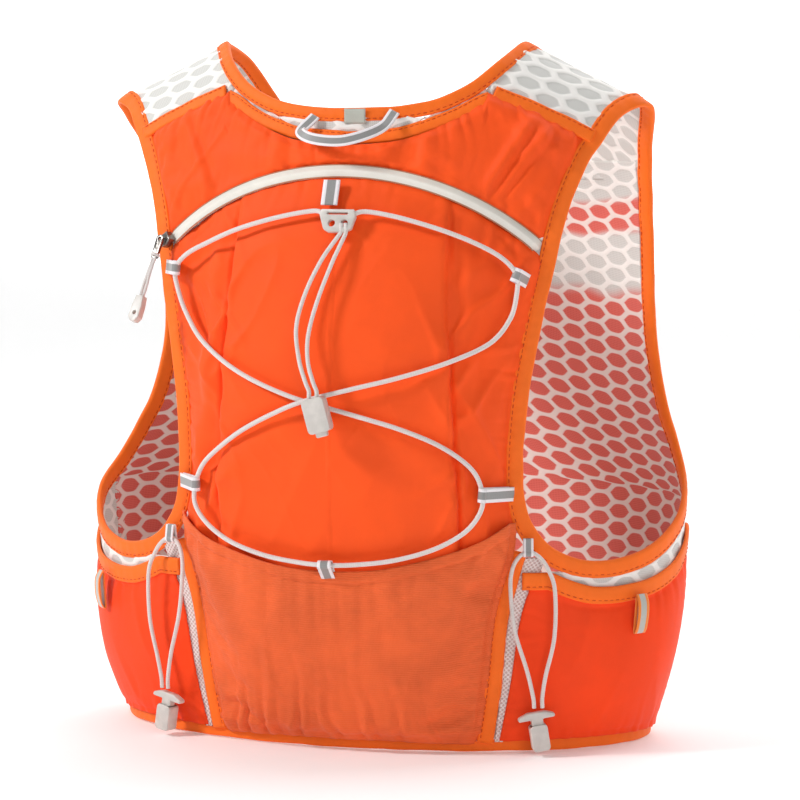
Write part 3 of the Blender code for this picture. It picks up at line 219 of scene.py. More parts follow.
back_edge = graph(BACK_EDGE)
yoke_line = graph(YOKE_LINE)
pocket_line = graph(POCKET_LINE)
shoulder_line = graph(SHOULDER_LINE)
bulge_at = graph(BULGE)
front_edge = graph(FRONT_EDGE)
side_pocket_top = graph(SIDE_POCKET_TOP)


def ease(t):
    t = np.clip(t, 0, 1)
    return t * t * (3 - 2 * t)


def unit(v):
    v = np.asarray(v, float)
    return v / np.maximum(np.linalg.norm(v, axis=-1, keepdims=True), 1e-12)


# ------------------------------------------------------------------ camera

AZIMUTH = math.radians(16)
ELEVATION = math.radians(6)
DISTANCE = 2.1
LOOKED_AT = (0, 0.0101, 0.191)
LENS = 160.65
SHIFT_X = 0.01625


def make_camera():
    back = Vector((math.sin(AZIMUTH) * math.cos(ELEVATION), -math.cos(AZIMUTH) * math.cos(ELEVATION),
                   math.sin(ELEVATION)))
    right = Vector((math.cos(AZIMUTH), math.sin(AZIMUTH), 0))
    up = back.cross(right)
    camera = bpy.data.objects.new("camera", bpy.data.cameras.new("camera"))
    scene.collection.objects.link(camera)
    turned = Matrix((right, up, back)).transposed().to_4x4()
    camera.matrix_world = Matrix.Translation(Vector(LOOKED_AT) + back * DISTANCE) @ turned
    camera.data.lens = LENS
    camera.data.shift_x = SHIFT_X
    camera.data.clip_end = 20
    scene.camera = camera


make_camera()

# ------------------------------------------------------------------ materials


class Shader:
    """A node material under construction."""

    def __init__(self, name, roughness, metallic=0.0, **sockets):
        self.made = bpy.data.materials.new(name)
        self.made.use_nodes = True
        self.tree = self.made.node_tree
        self.bsdf = self.tree.nodes["Principled BSDF"]
        self.set(self.bsdf, {"Roughness": roughness, "Metallic": metallic, **sockets})

    def set(self, node, values):
        for key, value in values.items():
            if isinstance(value, bpy.types.NodeSocket):
                self.tree.links.new(value, node.inputs[key])
            else:
                node.inputs[key].default_value = value

    def node(self, kind, values=None, **settings):
        made = self.tree.nodes.new("ShaderNode" + kind)
        for key, value in settings.items():
            setattr(made, key, value)
        self.set(made, values or {})
        return made

    def math(self, operation, a, b=0.0, c=0.0, clamp=False):
        return self.node("Math", {0: a, 1: b, 2: c}, operation=operation, use_clamp=clamp).outputs[0]

    def vector(self, operation, a, b=(0, 0, 0), scale=1.0):
        made = self.node("VectorMath", {0: a, 1: b}, operation=operation)
        if operation == "SCALE":
            self.set(made, {"Scale": scale})
        return made.outputs["Value" if operation in ("LENGTH", "DOT_PRODUCT") else "Vector"]

    def mix(self, factor, a, b):
        made = self.node("Mix", data_type="RGBA")
        self.set(made, {0: factor, 6: a, 7: b})
        return made.outputs[2]

    def step(self, value, low, high):
        """0 below low, 1 above high, smooth between."""
        made = self.node("MapRange", {"Value": value, "From Min": low, "From Max": high},
                         interpolation_type="SMOOTHSTEP")
        return made.outputs["Result"]

    def cloth(self):
        return self.node("UVMap", uv_map="cloth").outputs[0]

    def split(self, vector):
        made = self.node("SeparateXYZ", {0: vector})
        return made.outputs[0], made.outputs[1]

    def attribute(self, name):
        return self.node("Attribute", attribute_name=name).outputs["Fac"]

    def place(self):
        return self.node("TexCoord").outputs["Object"]

    def noise(self, vector, scale, detail=3.0, roughness=0.55):
        made = self.node("TexNoise", {"Vector": vector, "Scale": scale, "Detail": detail,
                                      "Roughness": roughness})
        return made.outputs[0]

    def wave(self, value, pitch):
        """A sine of a length, from 0 to 1."""
        turned = self.math("MULTIPLY", value, 2 * math.pi / pitch)
        return self.math("MULTIPLY_ADD", self.math("SINE", turned), 0.5, 0.5)

    def finish(self, colour, height=None, distance=0.0002, strength=1.0):
        self.set(self.bsdf, {"Base Color": colour})
        if height is not None:
            bump = self.node("Bump", {"Height": height, "Distance": distance, "Strength": strength})
            self.set(self.bsdf, {"Normal": bump.outputs[0]})
        return self.made


def tint(colour, factor):
    return (*(min(1.0, c * factor) for c in colour), 1)


def plain_weave(name, colour, pitch=0.0006, roughness=0.62, sheen=0.06, depth=0.00005, variation=0.05):
    """A fine plain weave with slight cloudiness."""
    s = Shader(name, roughness, **{"Sheen Weight": sheen, "Sheen Roughness": 0.4,
                                   "Specular IOR Level": 0.2})
    u, v = s.split(s.cloth())
    warp, weft = s.wave(u, pitch), s.wave(v, pitch)
    weave = s.math("MULTIPLY", warp, weft)
    cloud = s.noise(s.place(), 34.0, 4.0)
    colour_a = s.mix(s.step(cloud, 0.3, 0.75), tint(colour, 1 - variation), tint(colour, 1 + variation))
    speckle = s.noise(s.place(), 1900.0, 1.0)
    both = s.mix(s.math("MULTIPLY", s.step(speckle, 0.45, 0.75), 0.16), colour_a, tint(colour, 1.30))
    s.set(s.bsdf, {"Roughness": s.math("MULTIPLY_ADD", cloud, 0.16, roughness - 0.08)})
    height = s.math("MULTIPLY_ADD", speckle, 0.5, weave)
    return s.finish(both, height, depth)


FABRIC_ORANGE = (0.97, 0.090, 0.009)
SIDE_ORANGE = (0.95, 0.060, 0.006)
TAPE_ORANGE = (0.97, 0.160, 0.006)
POCKET_ORANGE = (0.78, 0.118, 0.027)

orange_fabric = plain_weave("orange_fabric", FABRIC_ORANGE)
side_fabric = plain_weave("side_fabric", SIDE_ORANGE)
thread = plain_weave("orange_thread", (0.62, 0.060, 0.004), sheen=0.1)


def tape_material(name, colour):
    """Folded binding tape: a fine rib across it, a cloudy tone and small darker specks."""
    s = Shader(name, 0.6, **{"Sheen Weight": 0.08, "Sheen Roughness": 0.4, "Specular IOR Level": 0.3})
    u, v = s.split(s.cloth())
    rib = s.wave(u, 0.0007)
    cloud = s.noise(s.place(), 60.0, 3.0)
    base = s.mix(s.step(cloud, 0.3, 0.7), tint(colour, 0.96), tint(colour, 1.03))
    speckle = s.noise(s.place(), 2200.0, 1.0)
    base = s.mix(s.math("MULTIPLY", s.step(speckle, 0.5, 0.8), 0.3), base, tint(colour, 0.82))
    return s.finish(base, s.math("ADD", rib, s.math("MULTIPLY", speckle, 0.6)), 0.00006)


orange_tape = tape_material("orange_tape", TAPE_ORANGE)


def hex_edge(s, vector):
    """Distance into a honeycomb cell from its edge, 0 on the line's middle to 0.866 in the centre."""
    scaled = s.vector("MULTIPLY", vector, (1.5 / HEX_COLUMN, math.sqrt(3) / HEX_ROW, 0))
    size = (3.0, math.sqrt(3), 1.0)
    found = []
    for shift in ((0, 0, 0), (1.5, math.sqrt(3) / 2, 0)):
        moved = s.vector("DIVIDE", s.vector("ADD", scaled, shift), size)
        part = s.vector("SUBTRACT", s.vector("FRACTION", moved), (0.5, 0.5, 0.0))
        local = s.vector("MULTIPLY", part, (3.0, math.sqrt(3), 0.0))
        x, y = s.split(s.vector("ABSOLUTE", local))
        slanted = s.math("MULTIPLY_ADD", x, math.sqrt(3) / 2, s.math("MULTIPLY", y, 0.5))
        far = s.math("SMOOTH_MAX", y, slanted, HEX_ROUNDING)
        found.append(s.math("SUBTRACT", math.sqrt(3) / 2, far))
    return s.math("MAXIMUM", *found)


HEX_COLUMN = 0.0150
HEX_ROW = 0.0106
HEX_ROUNDING = 0.40


def hex_edge_at(u, v):
    """The same distance as hex_edge, for geometry."""
    x, y = u * 1.5 / HEX_COLUMN, v * math.sqrt(3) / HEX_ROW
    found = []
    for shift in ((0, 0), (1.5, math.sqrt(3) / 2)):
        px = np.mod((x + shift[0]) / 3.0, 1.0) - 0.5
        py = np.mod((y + shift[1]) / math.sqrt(3), 1.0) - 0.5
        px, py = np.abs(px * 3.0), np.abs(py * math.sqrt(3))
        slanted = px * math.sqrt(3) / 2 + py * 0.5
        blend = np.maximum(HEX_ROUNDING - np.abs(py - slanted), 0) / HEX_ROUNDING
        found.append(math.sqrt(3) / 2 - np.maximum(py, slanted) - blend ** 3 * HEX_ROUNDING / 6)
    return np.maximum(*found)


HEX_LINE = 0.17


def honeycomb():
    """Warp-knit honeycomb mesh: white ridges round fine-netted cells that show what is behind."""
    s = Shader("white_mesh", 0.65, **{"Sheen Weight": 0.3})
    vector = s.cloth()
    edge = hex_edge(s, vector)
    cell = s.step(edge, HEX_LINE - 0.04, HEX_LINE + 0.07)
    behind = s.attribute("behind")
    u, v = s.split(vector)
    net = s.math("MULTIPLY", s.wave(u, 0.0011), s.wave(v, 0.0011))
    white_cell = s.mix(net, (0.66, 0.65, 0.62, 1), (0.50, 0.49, 0.46, 1))
    red_cell = s.mix(net, (0.74, 0.135, 0.100, 1), (0.60, 0.062, 0.048, 1))
    cell_colour = s.mix(behind, white_cell, red_cell)
    line = s.mix(s.math("MULTIPLY", behind, 0.55), (0.90, 0.88, 0.84, 1), (0.86, 0.60, 0.54, 1))
    grain = s.noise(s.place(), 900.0, 2.0)
    line = s.mix(s.math("MULTIPLY", grain, 0.25), line, (0.62, 0.55, 0.52, 1))
    height = s.math("MULTIPLY_ADD", net, -0.3, s.math("MULTIPLY", grain, 0.5))
    return s.finish(s.mix(cell, line, cell_colour), height, 0.00012)


white_mesh = honeycomb()


def perforated():
    """White spacer fabric with rows of small round holes."""
    s = Shader("spacer_mesh", 0.7, **{"Sheen Weight": 0.3})
    pitch = 0.0026
    scaled = s.vector("SCALE", s.cloth(), scale=1 / pitch)
    found = []
    for shift in ((0, 0, 0), (0.5, 0.5, 0)):
        part = s.vector("SUBTRACT", s.vector("FRACTION", s.vector("ADD", scaled, shift)), (0.5, 0.5, 0))
        flat = s.vector("MULTIPLY", part, (1, 1, 0))
        found.append(s.vector("LENGTH", flat))
    hole = s.step(s.math("MINIMUM", *found), 0.30, 0.20)
    grain = s.noise(s.place(), 1200.0, 2.0)
    base = s.mix(s.math("MULTIPLY", grain, 0.4), (0.88, 0.80, 0.78, 1), (0.74, 0.62, 0.60, 1))
    colour = s.mix(s.math("MULTIPLY", hole, 0.75), base, (0.52, 0.33, 0.30, 1))
    return s.finish(colour, s.math("SUBTRACT", grain, hole), 0.0003)


spacer_mesh = perforated()


def knitted_pocket():
    """Sheer stretch knit: fine rows across and a cloudy tone."""
    s = Shader("stretch_mesh", 0.6, **{"Sheen Weight": 0.15, "Sheen Roughness": 0.35,
                                       "Sheen Tint": (1.0, 0.75, 0.6, 1), "Specular IOR Level": 0.2})
    u, v = s.split(s.cloth())
    wobble = s.noise(s.place(), 120.0, 2.0)
    bent = s.math("MULTIPLY_ADD", wobble, 0.0012, v)
    rows = s.wave(bent, 0.0013)
    fine = s.wave(u, 0.0008)
    cloud = s.noise(s.place(), 26.0, 4.0)
    base = s.mix(s.step(cloud, 0.3, 0.7), tint(POCKET_ORANGE, 0.86), tint(POCKET_ORANGE, 1.12))
    both = s.mix(s.math("MULTIPLY", rows, 0.28), base, (0.84, 0.175, 0.062, 1))
    return s.finish(both, s.math("MULTIPLY_ADD", fine, 0.4, rows), 0.00010)


stretch_mesh = knitted_pocket()


def ribbon_material(name, edge_colour, middle_colour, shine=0.25):
    """Woven ribbon with a reflective stripe; the cloth map's V runs across it from -1 to 1."""
    s = Shader(name, 0.45, **{"Sheen Weight": 0.2})
    u, v = s.split(s.cloth())
    across = s.math("ABSOLUTE", v)
    stripe = s.step(across, 0.56, 0.50)
    grain = s.wave(u, 0.0008)
    edge = s.mix(s.math("MULTIPLY", grain, 0.25), edge_colour, tint(edge_colour[:3], 0.75))
    middle = s.mix(s.noise(s.place(), 1500.0, 1.0), middle_colour, tint(middle_colour[:3], 1.25))
    s.set(s.bsdf, {"Roughness": s.math("MULTIPLY_ADD", stripe, -0.15, 0.6)})
    height = s.math("MULTIPLY", s.math("SUBTRACT", 1.0, stripe), grain)
    return s.finish(s.mix(stripe, edge, middle), height, 0.00008)


ribbon = ribbon_material("reflective_ribbon", (0.86, 0.82, 0.84, 1), (0.235, 0.232, 0.228, 1))
tag_ribbon = ribbon_material("tag_ribbon", (0.93, 0.24, 0.02, 1), (0.42, 0.41, 0.38, 1))
label_cloth = plain_weave("label_cloth", (0.50, 0.52, 0.46), sheen=0.1)
webbing = plain_weave("orange_webbing", TAPE_ORANGE, pitch=0.0016, depth=0.00018)


def braid():
    """Braided cord cover: two sets of fine helices; the map's U runs along in metres, V around 0 to 1."""
    s = Shader("cream_cord", 0.68, **{"Sheen Weight": 0.35})
    u, v = s.split(s.cloth())
    around = s.math("MULTIPLY", v, 2 * math.pi * 6)
    along = s.math("MULTIPLY", u, 2 * math.pi / 0.0026)
    one = s.math("SINE", s.math("ADD", around, along))
    two = s.math("SINE", s.math("SUBTRACT", around, along))
    plait = s.math("MULTIPLY_ADD", s.math("MULTIPLY", one, two), 0.5, 0.5)
    # The colour is darker where the plait is low: painted shade in the grooves between the strands.
    colour = s.mix(s.math("MULTIPLY", plait, 0.5), (0.66, 0.60, 0.575, 1), (0.80, 0.755, 0.73, 1))
    return s.finish(colour, plait, 0.00010)


cream_cord = braid()


def moulded(name, colour, roughness=0.42):
    """Moulded plastic with a faint grain and slight wear in its colour."""
    s = Shader(name, roughness, **{"Coat Weight": 0.1, "Coat Roughness": 0.3})
    cloud = s.noise(s.place(), 180.0, 3.0)
    grain = s.noise(s.place(), 2600.0, 2.0)
    base = s.mix(s.step(cloud, 0.35, 0.7), tint(colour, 0.93), tint(colour, 1.05))
    s.set(s.bsdf, {"Roughness": s.math("MULTIPLY_ADD", cloud, 0.14, roughness - 0.07)})
    return s.finish(base, grain, 0.00003)


cream_plastic = moulded("cream_plastic", (0.62, 0.585, 0.545))
cap_plastic = moulded("cap_plastic", (0.10, 0.25, 0.45))
water_film = moulded("water_film", (0.45, 0.60, 0.70), 0.2)


def metal():
    s = Shader("zip_metal", 0.28, 1.0)
    scratch = s.noise(s.vector("MULTIPLY", s.place(), (400, 400, 4000)), 1.0, 2.0)
    s.set(s.bsdf, {"Roughness": s.math("MULTIPLY_ADD", scratch, 0.2, 0.2)})
    return s.finish(s.mix(scratch, (0.16, 0.15, 0.14, 1), (0.34, 0.32, 0.30, 1)), scratch, 0.00002)


zip_metal = metal()
zip_cloth = plain_weave("cream_zip", (0.82, 0.79, 0.72), pitch=0.0009, depth=0.00008, variation=0.04)

# ------------------------------------------------------------------ mesh building


def settle(piece, nodes=(), body="vest"):
    """Put a finished piece on its body and hide the CAD nodes it stands in for."""
    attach(piece, body)
    if nodes:
        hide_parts(*nodes)
    return piece


def mesh_object(name, points, faces, uvs, made, values=None):
    """An object from arrays; uvs has one pair for each corner of each face, in order."""
    mesh = bpy.data.meshes.new(name)
    mesh.from_pydata([tuple(p) for p in points], [], [tuple(f) for f in faces])
    layer = mesh.uv_layers.new(name="cloth")
    layer.data.foreach_set("uv", np.asarray(uvs, np.float32).ravel())
    for key, found in (values or {}).items():
        held = mesh.attributes.new(key, "FLOAT", "POINT")
        held.data.foreach_set("value", np.asarray(found, np.float32).ravel())
    mesh.materials.append(made)
    mesh.shade_smooth()
    piece = bpy.data.objects.new(name, mesh)
    scene.collection.objects.link(piece)
    return piece


def grid_faces(rows, columns, close_rows=False, close_columns=False):
    """Quads of a grid of points numbered row by row, and the grid places of their corners."""
    r = np.arange(rows if close_rows else rows - 1)
    c = np.arange(columns if close_columns else columns - 1)
    r, c = [a.ravel() for a in np.meshgrid(r, c, indexing="ij")]
    corners = [(r, c), (r + 1, c), (r + 1, c + 1), (r, c + 1)]
    faces = np.stack([(a % rows) * columns + b % columns for a, b in corners], 1)
    return faces, [np.stack([a, b], -1) for a, b in corners]


def sheet_mesh(name, points, u, v, made, thickness, inwards=False, values=None):
    """A sheet of fabric from a grid of points with its cloth map, given a thickness."""
    rows, columns = u.shape
    faces, corners = grid_faces(rows, columns)
    flat_u, flat_v = u.ravel(), v.ravel()
    uvs = np.stack([np.stack([flat_u[f], flat_v[f]], -1) for f in faces.T], 1)
    normal = np.cross(points[1:, :-1] - points[:-1, :-1], points[:-1, 1:] - points[:-1, :-1])
    away = outward(points[:-1, :-1])
    if (normal * away).sum() < 0:
        faces, uvs = faces[:, ::-1], uvs[:, ::-1]
    piece = mesh_object(name, points.reshape(-1, 3), faces, uvs, made, values)
    solid = piece.modifiers.new("thickness", "SOLIDIFY")
    solid.thickness = thickness
    solid.offset = -1 if inwards else 1
    return piece


def directions(points):
    """Unit normals of a grid of points, facing away from the body."""
    du, dv = np.gradient(points, axis=0), np.gradient(points, axis=1)
    normal = unit(np.cross(du, dv))
    return normal * np.sign((normal * outward(points)).sum(-1, keepdims=True))


def cloth_map(points):
    """Lengths across and along a grid, measured on the cloth itself."""
    across = np.linalg.norm(np.diff(points, axis=0), axis=-1)
    along = np.linalg.norm(np.diff(points, axis=1), axis=-1)
    u = np.vstack([np.zeros((1, points.shape[1])), np.cumsum(across, 0)])
    v = np.hstack([np.zeros((points.shape[0], 1)), np.cumsum(along, 1)])
    return u - u[points.shape[0] // 2], v


def rough(u, v, size, seed, stretch=1.0):
    """Smooth noise from -1 to 1 over lengths u and v, its features about size across."""
    made = np.random.RandomState(seed)
    lattice = made.uniform(-1, 1, (64, 64))
    x, y = u / size + 17.3, v / (size * stretch) + 11.9
    i, j = np.floor(x).astype(int), np.floor(y).astype(int)
    fx, fy = ease(x - i), ease(y - j)
    a, b = lattice[i % 64, j % 64], lattice[(i + 1) % 64, j % 64]
    c, d = lattice[i % 64, (j + 1) % 64], lattice[(i + 1) % 64, (j + 1) % 64]
    return (a * (1 - fx) + b * fx) * (1 - fy) + (c * (1 - fx) + d * fx) * fy


def folds(u, v, size, seed, stretch=1.0):
    """Creased noise: sharp ridges between soft hollows, from 0 to 1."""
    bent = u + 0.35 * size * rough(u, v, 1.7 * size, seed + 5)
    return (1 - np.abs(rough(bent, v, size, seed, stretch))) ** 3


def pucker(along, from_edge, seed, pitch=0.0075, reach=0.012):
    """Small gathers that run away from a seam, deepest beside it."""
    shifted = along + 0.004 * rough(along, from_edge, 0.02, seed)
    wave = np.sin(2 * math.pi * shifted / pitch) + 0.6 * np.sin(2 * math.pi * shifted / (0.63 * pitch) + 1.7)
    size = 0.55 + 0.45 * rough(along, 0 * along, 0.025, seed + 1)
    return wave * size * np.exp(-np.maximum(from_edge, 0) / reach)

# ------------------------------------------------------------------ charts of the pieces (as in the CAD)

ZIP_THICKNESS = 0.0012


def tape_directions(route, side, closed=False, upright=False):
    """The face and width directions of a tape along a route."""
    if closed:
        along = np.roll(route, -1, 0) - np.roll(route, 1, 0)
    else:
        along = np.gradient(route, axis=0)
    normal = outward(route)
    if upright:
        normal[:, 2] = 0
        normal /= np.linalg.norm(normal, axis=1, keepdims=True)
    across = np.cross(normal, along) * side
    across /= np.linalg.norm(across, axis=1, keepdims=True)
    return normal, across


def arc(centre, radius, start, end, count):
    """Points of an arc, angles in degrees."""
    turns = np.radians(np.linspace(start, end, count))
    return [(centre[0] + radius * math.cos(t), centre[1] + radius * math.sin(t)) for t in turns]


def facing(origin, z_axis, y_axis):
    """A placing matrix with local Z along z_axis and local Y near y_axis."""
    z_axis = Vector(z_axis).normalized()
    x_axis = Vector(y_axis).cross(z_axis).normalized()
    y_axis = z_axis.cross(x_axis)
    turned = Matrix((x_axis, y_axis, z_axis)).transposed().to_4x4()
    return Matrix.Translation(Vector(origin)) @ turned


def zip_frame():
    """Centre, radius and the in-plane and axial directions of the zip's circle."""
    sagitta = math.hypot(ZIP_DROP, ZIP_RISE_Y)
    radius = (ZIP_HALF_CHORD ** 2 + sagitta ** 2) / (2 * sagitta)
    up = np.array([0, -ZIP_RISE_Y, ZIP_DROP]) / sagitta
    axis = np.array([0, -ZIP_DROP, -ZIP_RISE_Y]) / sagitta
    centre = np.array(ZIP_APEX) + [0, FORM_CENTRE_Y, 0] - radius * up
    return centre, radius, up, axis


ZIP_CENTRE, ZIP_RADIUS, ZIP_UP, ZIP_AXIS = zip_frame()


def zip_point(turn, across=0.0, lift=0.0):
    """Point of the zip's cone: turn from the apex, positive to +X, across its width, off its face."""
    turn = np.asarray(turn, float)[..., None]
    radial = np.sin(turn) * np.array([1, 0, 0]) + np.cos(turn) * ZIP_UP
    face = radial * math.cos(ZIP_CONE) + ZIP_AXIS * math.sin(ZIP_CONE)
    width = radial * math.sin(ZIP_CONE) - ZIP_AXIS * math.cos(ZIP_CONE)
    return ZIP_CENTRE + radial * ZIP_RADIUS + width * across + face * lift


def zip_border(across):
    """Height and depth of one edge of the zip tape as functions of x."""
    line = zip_point(np.linspace(-1.2, 1.2, 241), across)
    return (lambda x: np.interp(x, line[:, 0], line[:, 2])), (lambda x: np.interp(x, line[:, 0], line[:, 1]))


ZIP_REACH = ZIP_WIDTH / 2 + CLEARANCE
zip_low_z, zip_low_y = zip_border(-ZIP_REACH)
zip_high_z, zip_high_y = zip_border(ZIP_REACH)


def panel_half(z):
    return back_edge(z) - INSET


def column_end(share, line):
    """Where the column at a share of the half width (-1 to 1) meets a line across the back."""
    z = line(np.abs(share) * panel_half(0.3))
    for _ in range(12):
        z = line(np.abs(share) * panel_half(z))
    return z


def back_chart(bottom, top):
    """A chart of the back between two lines, each a function of the half width."""
    def chart(u, v):
        share = 2 * u - 1
        low = column_end(share, bottom)
        z = low + v * (column_end(share, top) - low)
        return share * panel_half(z), z
    return chart


def level_line(height):
    return lambda x: height + 0 * x


def band_or_yoke(x):
    """Lower edge of the tapes that close the top of the back."""
    below = YOKE_TAPE / 2 + 2 * CLEARANCE
    return np.where(x < YOKE_LINE[-1][0], yoke_line(x), shoulder_line(x)) - below


def loaded(x, z):
    """Distance of the loaded compartment's fabric off the form."""
    share = np.clip(np.abs(x) / panel_half(z), 0, 1)
    return OUTER_BASE + bulge_at(z) * (1 - share ** 3) ** 0.8


def back_surface(bottom, top, lift, top_y=None, bottom_y=None):
    """A lifted chart of the back whose ends are eased onto given depths."""
    chart = back_chart(bottom, top)

    def surface(u, v):
        x, z = chart(u, v)
        points = on_back(x, z)
        points = points + outward(points) * lift(x, z)[..., None]
        for end, depth in ((1.0, top_y), (0.0, bottom_y)):
            if depth is None:
                continue
            ex, ez = chart(u, np.full_like(v, end))
            edge = on_back(ex, ez)
            edge = edge + outward(edge) * lift(ex, ez)[..., None]
            pull = ease(1 - np.abs(v - end) / 0.45)
            target = np.stack([ex, depth(ex), ez], -1)
            points = points + pull[..., None] * (target - edge)
        return points
    return surface


NECK_MESH_HALF = 0.062


def neck_inner_height(x):
    """Height of the line under the neck binding at a distance from the middle of the back."""
    edge = neck_inner_edge()
    edge = edge[(edge[:, 1] < 0) & (np.abs(edge[:, 0]) < 0.085)]
    order = np.argsort(edge[:, 0])
    return np.interp(x, edge[order, 0], edge[order, 2])


def mirrored(points):
    return np.asarray(points, float) * [-1, 1, 1]


def on_side(points, face):
    return [face(x, z) for x, z in points]


def neck_route():
    """The free edge up the right front, round the neck and down the left front."""
    front = [on_front(x, z) for z, x in FRONT_EDGE]
    front[0] = on_front(FRONT_EDGE[0][1], INSET + CLEARANCE)
    back = on_side(NECK_LINE[:0:-1], on_back)
    right = [*front, over_shoulder(NECK_RIDGE, 0), *back]
    middle = on_back(0, NECK_LINE[0][1])
    route = np.vstack([right, [middle], mirrored(right)[::-1]])
    return smooth(route, 97)


def neck_inner_edge():
    """The line just inside the neck binding, where the panels start."""
    route = neck_route()
    _, across = tape_directions(route, 1)
    return route + across * (NECK_TAPE + 3 * CLEARANCE)


def armhole_route():
    tip = over_shoulder(ARMHOLE_RIDGE, 0)
    side = on_form(math.radians(90), 0.1380)
    route = [[tip], on_side(ARMHOLE_BACK, on_back), [side], on_side(ARMHOLE_FRONT, on_front)]
    return smooth(np.vstack(route), 72, closed=True)


def armhole_inner_edge():
    """The line just outside the armhole binding, where the panels end."""
    route = armhole_route()
    _, across = tape_directions(route, -1, closed=True)
    return route + across * (INSET + 2 * CLEARANCE)


def angle_and_height(points):
    """Angle round the body and height of points near the form."""
    depth = (points[:, 1] - centre_y(points[:, 2])) / closing(points[:, 0], points[:, 2])
    turn = np.arctan2(points[:, 0] / half_width(points[:, 2]), -depth / half_depth(points[:, 2]))
    return turn, points[:, 2]


def shoulder_side(points, back_z):
    """A panel edge over the shoulder as functions of a share: distance x and tilt."""
    x, y, z = points.T
    depth = half_depth(z) * np.sqrt(1 - (x / half_width(z)) ** 2)
    tilt = np.arctan2((y - centre_y(z)) / depth, (np.minimum(z / ridge(x), 1)) ** (SHOULDER_POWER / 2))
    order = np.argsort(tilt)
    behind = [k for k in order if tilt[k] < 0]
    ahead = [k for k in order[::-1] if tilt[k] > 0]
    start = np.interp(back_z, z[behind], tilt[behind])
    end = np.interp(FRONT_TOP, z[ahead], tilt[ahead])
    share = np.linspace(0, 1, 40)
    wanted = start + share * (end - start)
    return share, np.interp(wanted, tilt[order], x[order]), wanted


neck_inner_angle, neck_inner_z = angle_and_height(
    np.array([p for p in neck_inner_edge() if p[0] > 0 and p[2] < FRONT_TOP + 0.01 and p[1] > 0]))
armhole_angle, armhole_z = angle_and_height(
    np.array([p for p in armhole_inner_edge() if p[2] < FRONT_TOP + 0.01 and p[1] > -0.058]))
front_side = (armhole_angle > SIDE_SEAM) & (armhole_z > 0.1)


def armhole_bottom(degrees):
    """Height of the panels' edge under the armhole at an angle round the body."""
    under = (armhole_z < 0.17) & (armhole_angle > math.radians(30))
    turns = np.degrees(armhole_angle[under])
    order = np.argsort(turns)
    return np.interp(degrees, turns[order], armhole_z[under][order])


SPACER_INNER = 0.0012
SPACER_TOP = 0.104


def spacer_angle(z, share):
    """Angle of a line down the perforated strip, from its inner (0) to its outer edge (1)."""
    width = 0.0030 + 0.0045 * z / SPACER_TOP
    return angle_of(back_edge(z) + SPACER_INNER + share * width, z)


def side_start(z):
    return spacer_angle(np.minimum(z, SPACER_TOP), 1.0) + 0.006


def side_pocket_chart(u, v, top_drop):
    start = side_start(0.05)
    angle = start + u * (SIDE_SEAM - 0.008 - start)
    top = side_pocket_top(np.degrees(angle)) - top_drop
    z = INSET + v * (top - INSET)
    edge = side_start(z)
    return edge + u * (SIDE_SEAM - 0.008 - edge), z


def on_compartment(x, z, lift=0.0):
    """Point over the loaded compartment's outer face."""
    foot = on_back(np.asarray(x, float), np.asarray(z, float))
    return foot + outward(foot) * (loaded(np.asarray(x), np.asarray(z)) + FABRIC + lift)[..., None]


UPPER_LOOP = (0.0955, 0.271)
LOWER_LOOP = (0.0800, 0.150)
BOTTOM_LOOP = (0.0, 0.1125)
LOCK_TOP = (-0.0044, 0.2042)
LOCK_BOTTOM = (0.0002, 0.1858)
BUNGEE_ROUTE = [
    (-0.0120, 0.3050), (-0.0320, 0.3010), (-0.0550, 0.2940), (-0.0740, 0.2860), (-0.0880, 0.2790),
    (-0.0955, 0.2710), (-0.0955, 0.2620), (-0.0890, 0.2470), (-0.0740, 0.2310), (-0.0500, 0.2160),
    (-0.0200, 0.2040), (0.0130, 0.1950), (0.0390, 0.1870), (0.0600, 0.1770), (0.0750, 0.1640),
    (0.0800, 0.1500), (0.0780, 0.1400), (0.0700, 0.1300), (0.0550, 0.1215), (0.0350, 0.1155),
    (0.0150, 0.1128), (0.0, 0.1125), (-0.0150, 0.1128), (-0.0350, 0.1155), (-0.0550, 0.1215),
    (-0.0700, 0.1300), (-0.0780, 0.1400), (-0.0800, 0.1500), (-0.0750, 0.1620), (-0.0640, 0.1720),
    (-0.0480, 0.1835), (-0.0300, 0.1935), (-0.0120, 0.2015), (0.0120, 0.2085), (0.0380, 0.2155),
    (0.0630, 0.2240), (0.0830, 0.2340), (0.0930, 0.2470), (0.0960, 0.2600), (0.0955, 0.2710),
    (0.0880, 0.2800), (0.0740, 0.2880), (0.0550, 0.2955), (0.0330, 0.3020), (0.0160, 0.3050),
]
CROSSING = (-0.0010, 0.2045)
CROSSING_STRAND = 28
LOOP_LIFT = 0.0034


def bungee_points():
    """The bungee's route in space; its second strand rides over the first where they cross."""
    points = []
    for index, (x, z) in enumerate(BUNGEE_ROUTE):
        lift = CORD_GAP + BUNGEE / 2
        if z < 0.145:
            lift += POCKET_EXTRA
        nearest = min(math.dist((abs(x), z), spot) for spot in (UPPER_LOOP, LOWER_LOOP, BOTTOM_LOOP))
        lift += LOOP_LIFT * math.exp(-(nearest / 0.014) ** 2)
        if index > CROSSING_STRAND:
            away = math.dist((x, z), CROSSING)
            lift += (BUNGEE + 2 * CORD_GAP) * math.exp(-(away / 0.020) ** 2)
        points.append(on_compartment(x, z, lift))
    return np.array(points)


LOOP_WALL = 0.0007


def lock_axis():
    """Top and bottom of the centre cord lock."""
    lift = BUNGEE + 4 * CORD_GAP + 0.0060
    top = on_compartment(*LOCK_TOP, lift + 0.0005)
    bottom = on_compartment(*LOCK_BOTTOM, lift)
    return top, bottom


def side_point(sign, x, z, lift):
    foot = on_back(x, z)
    return (foot + outward(foot) * lift) * [sign, 1, 1]


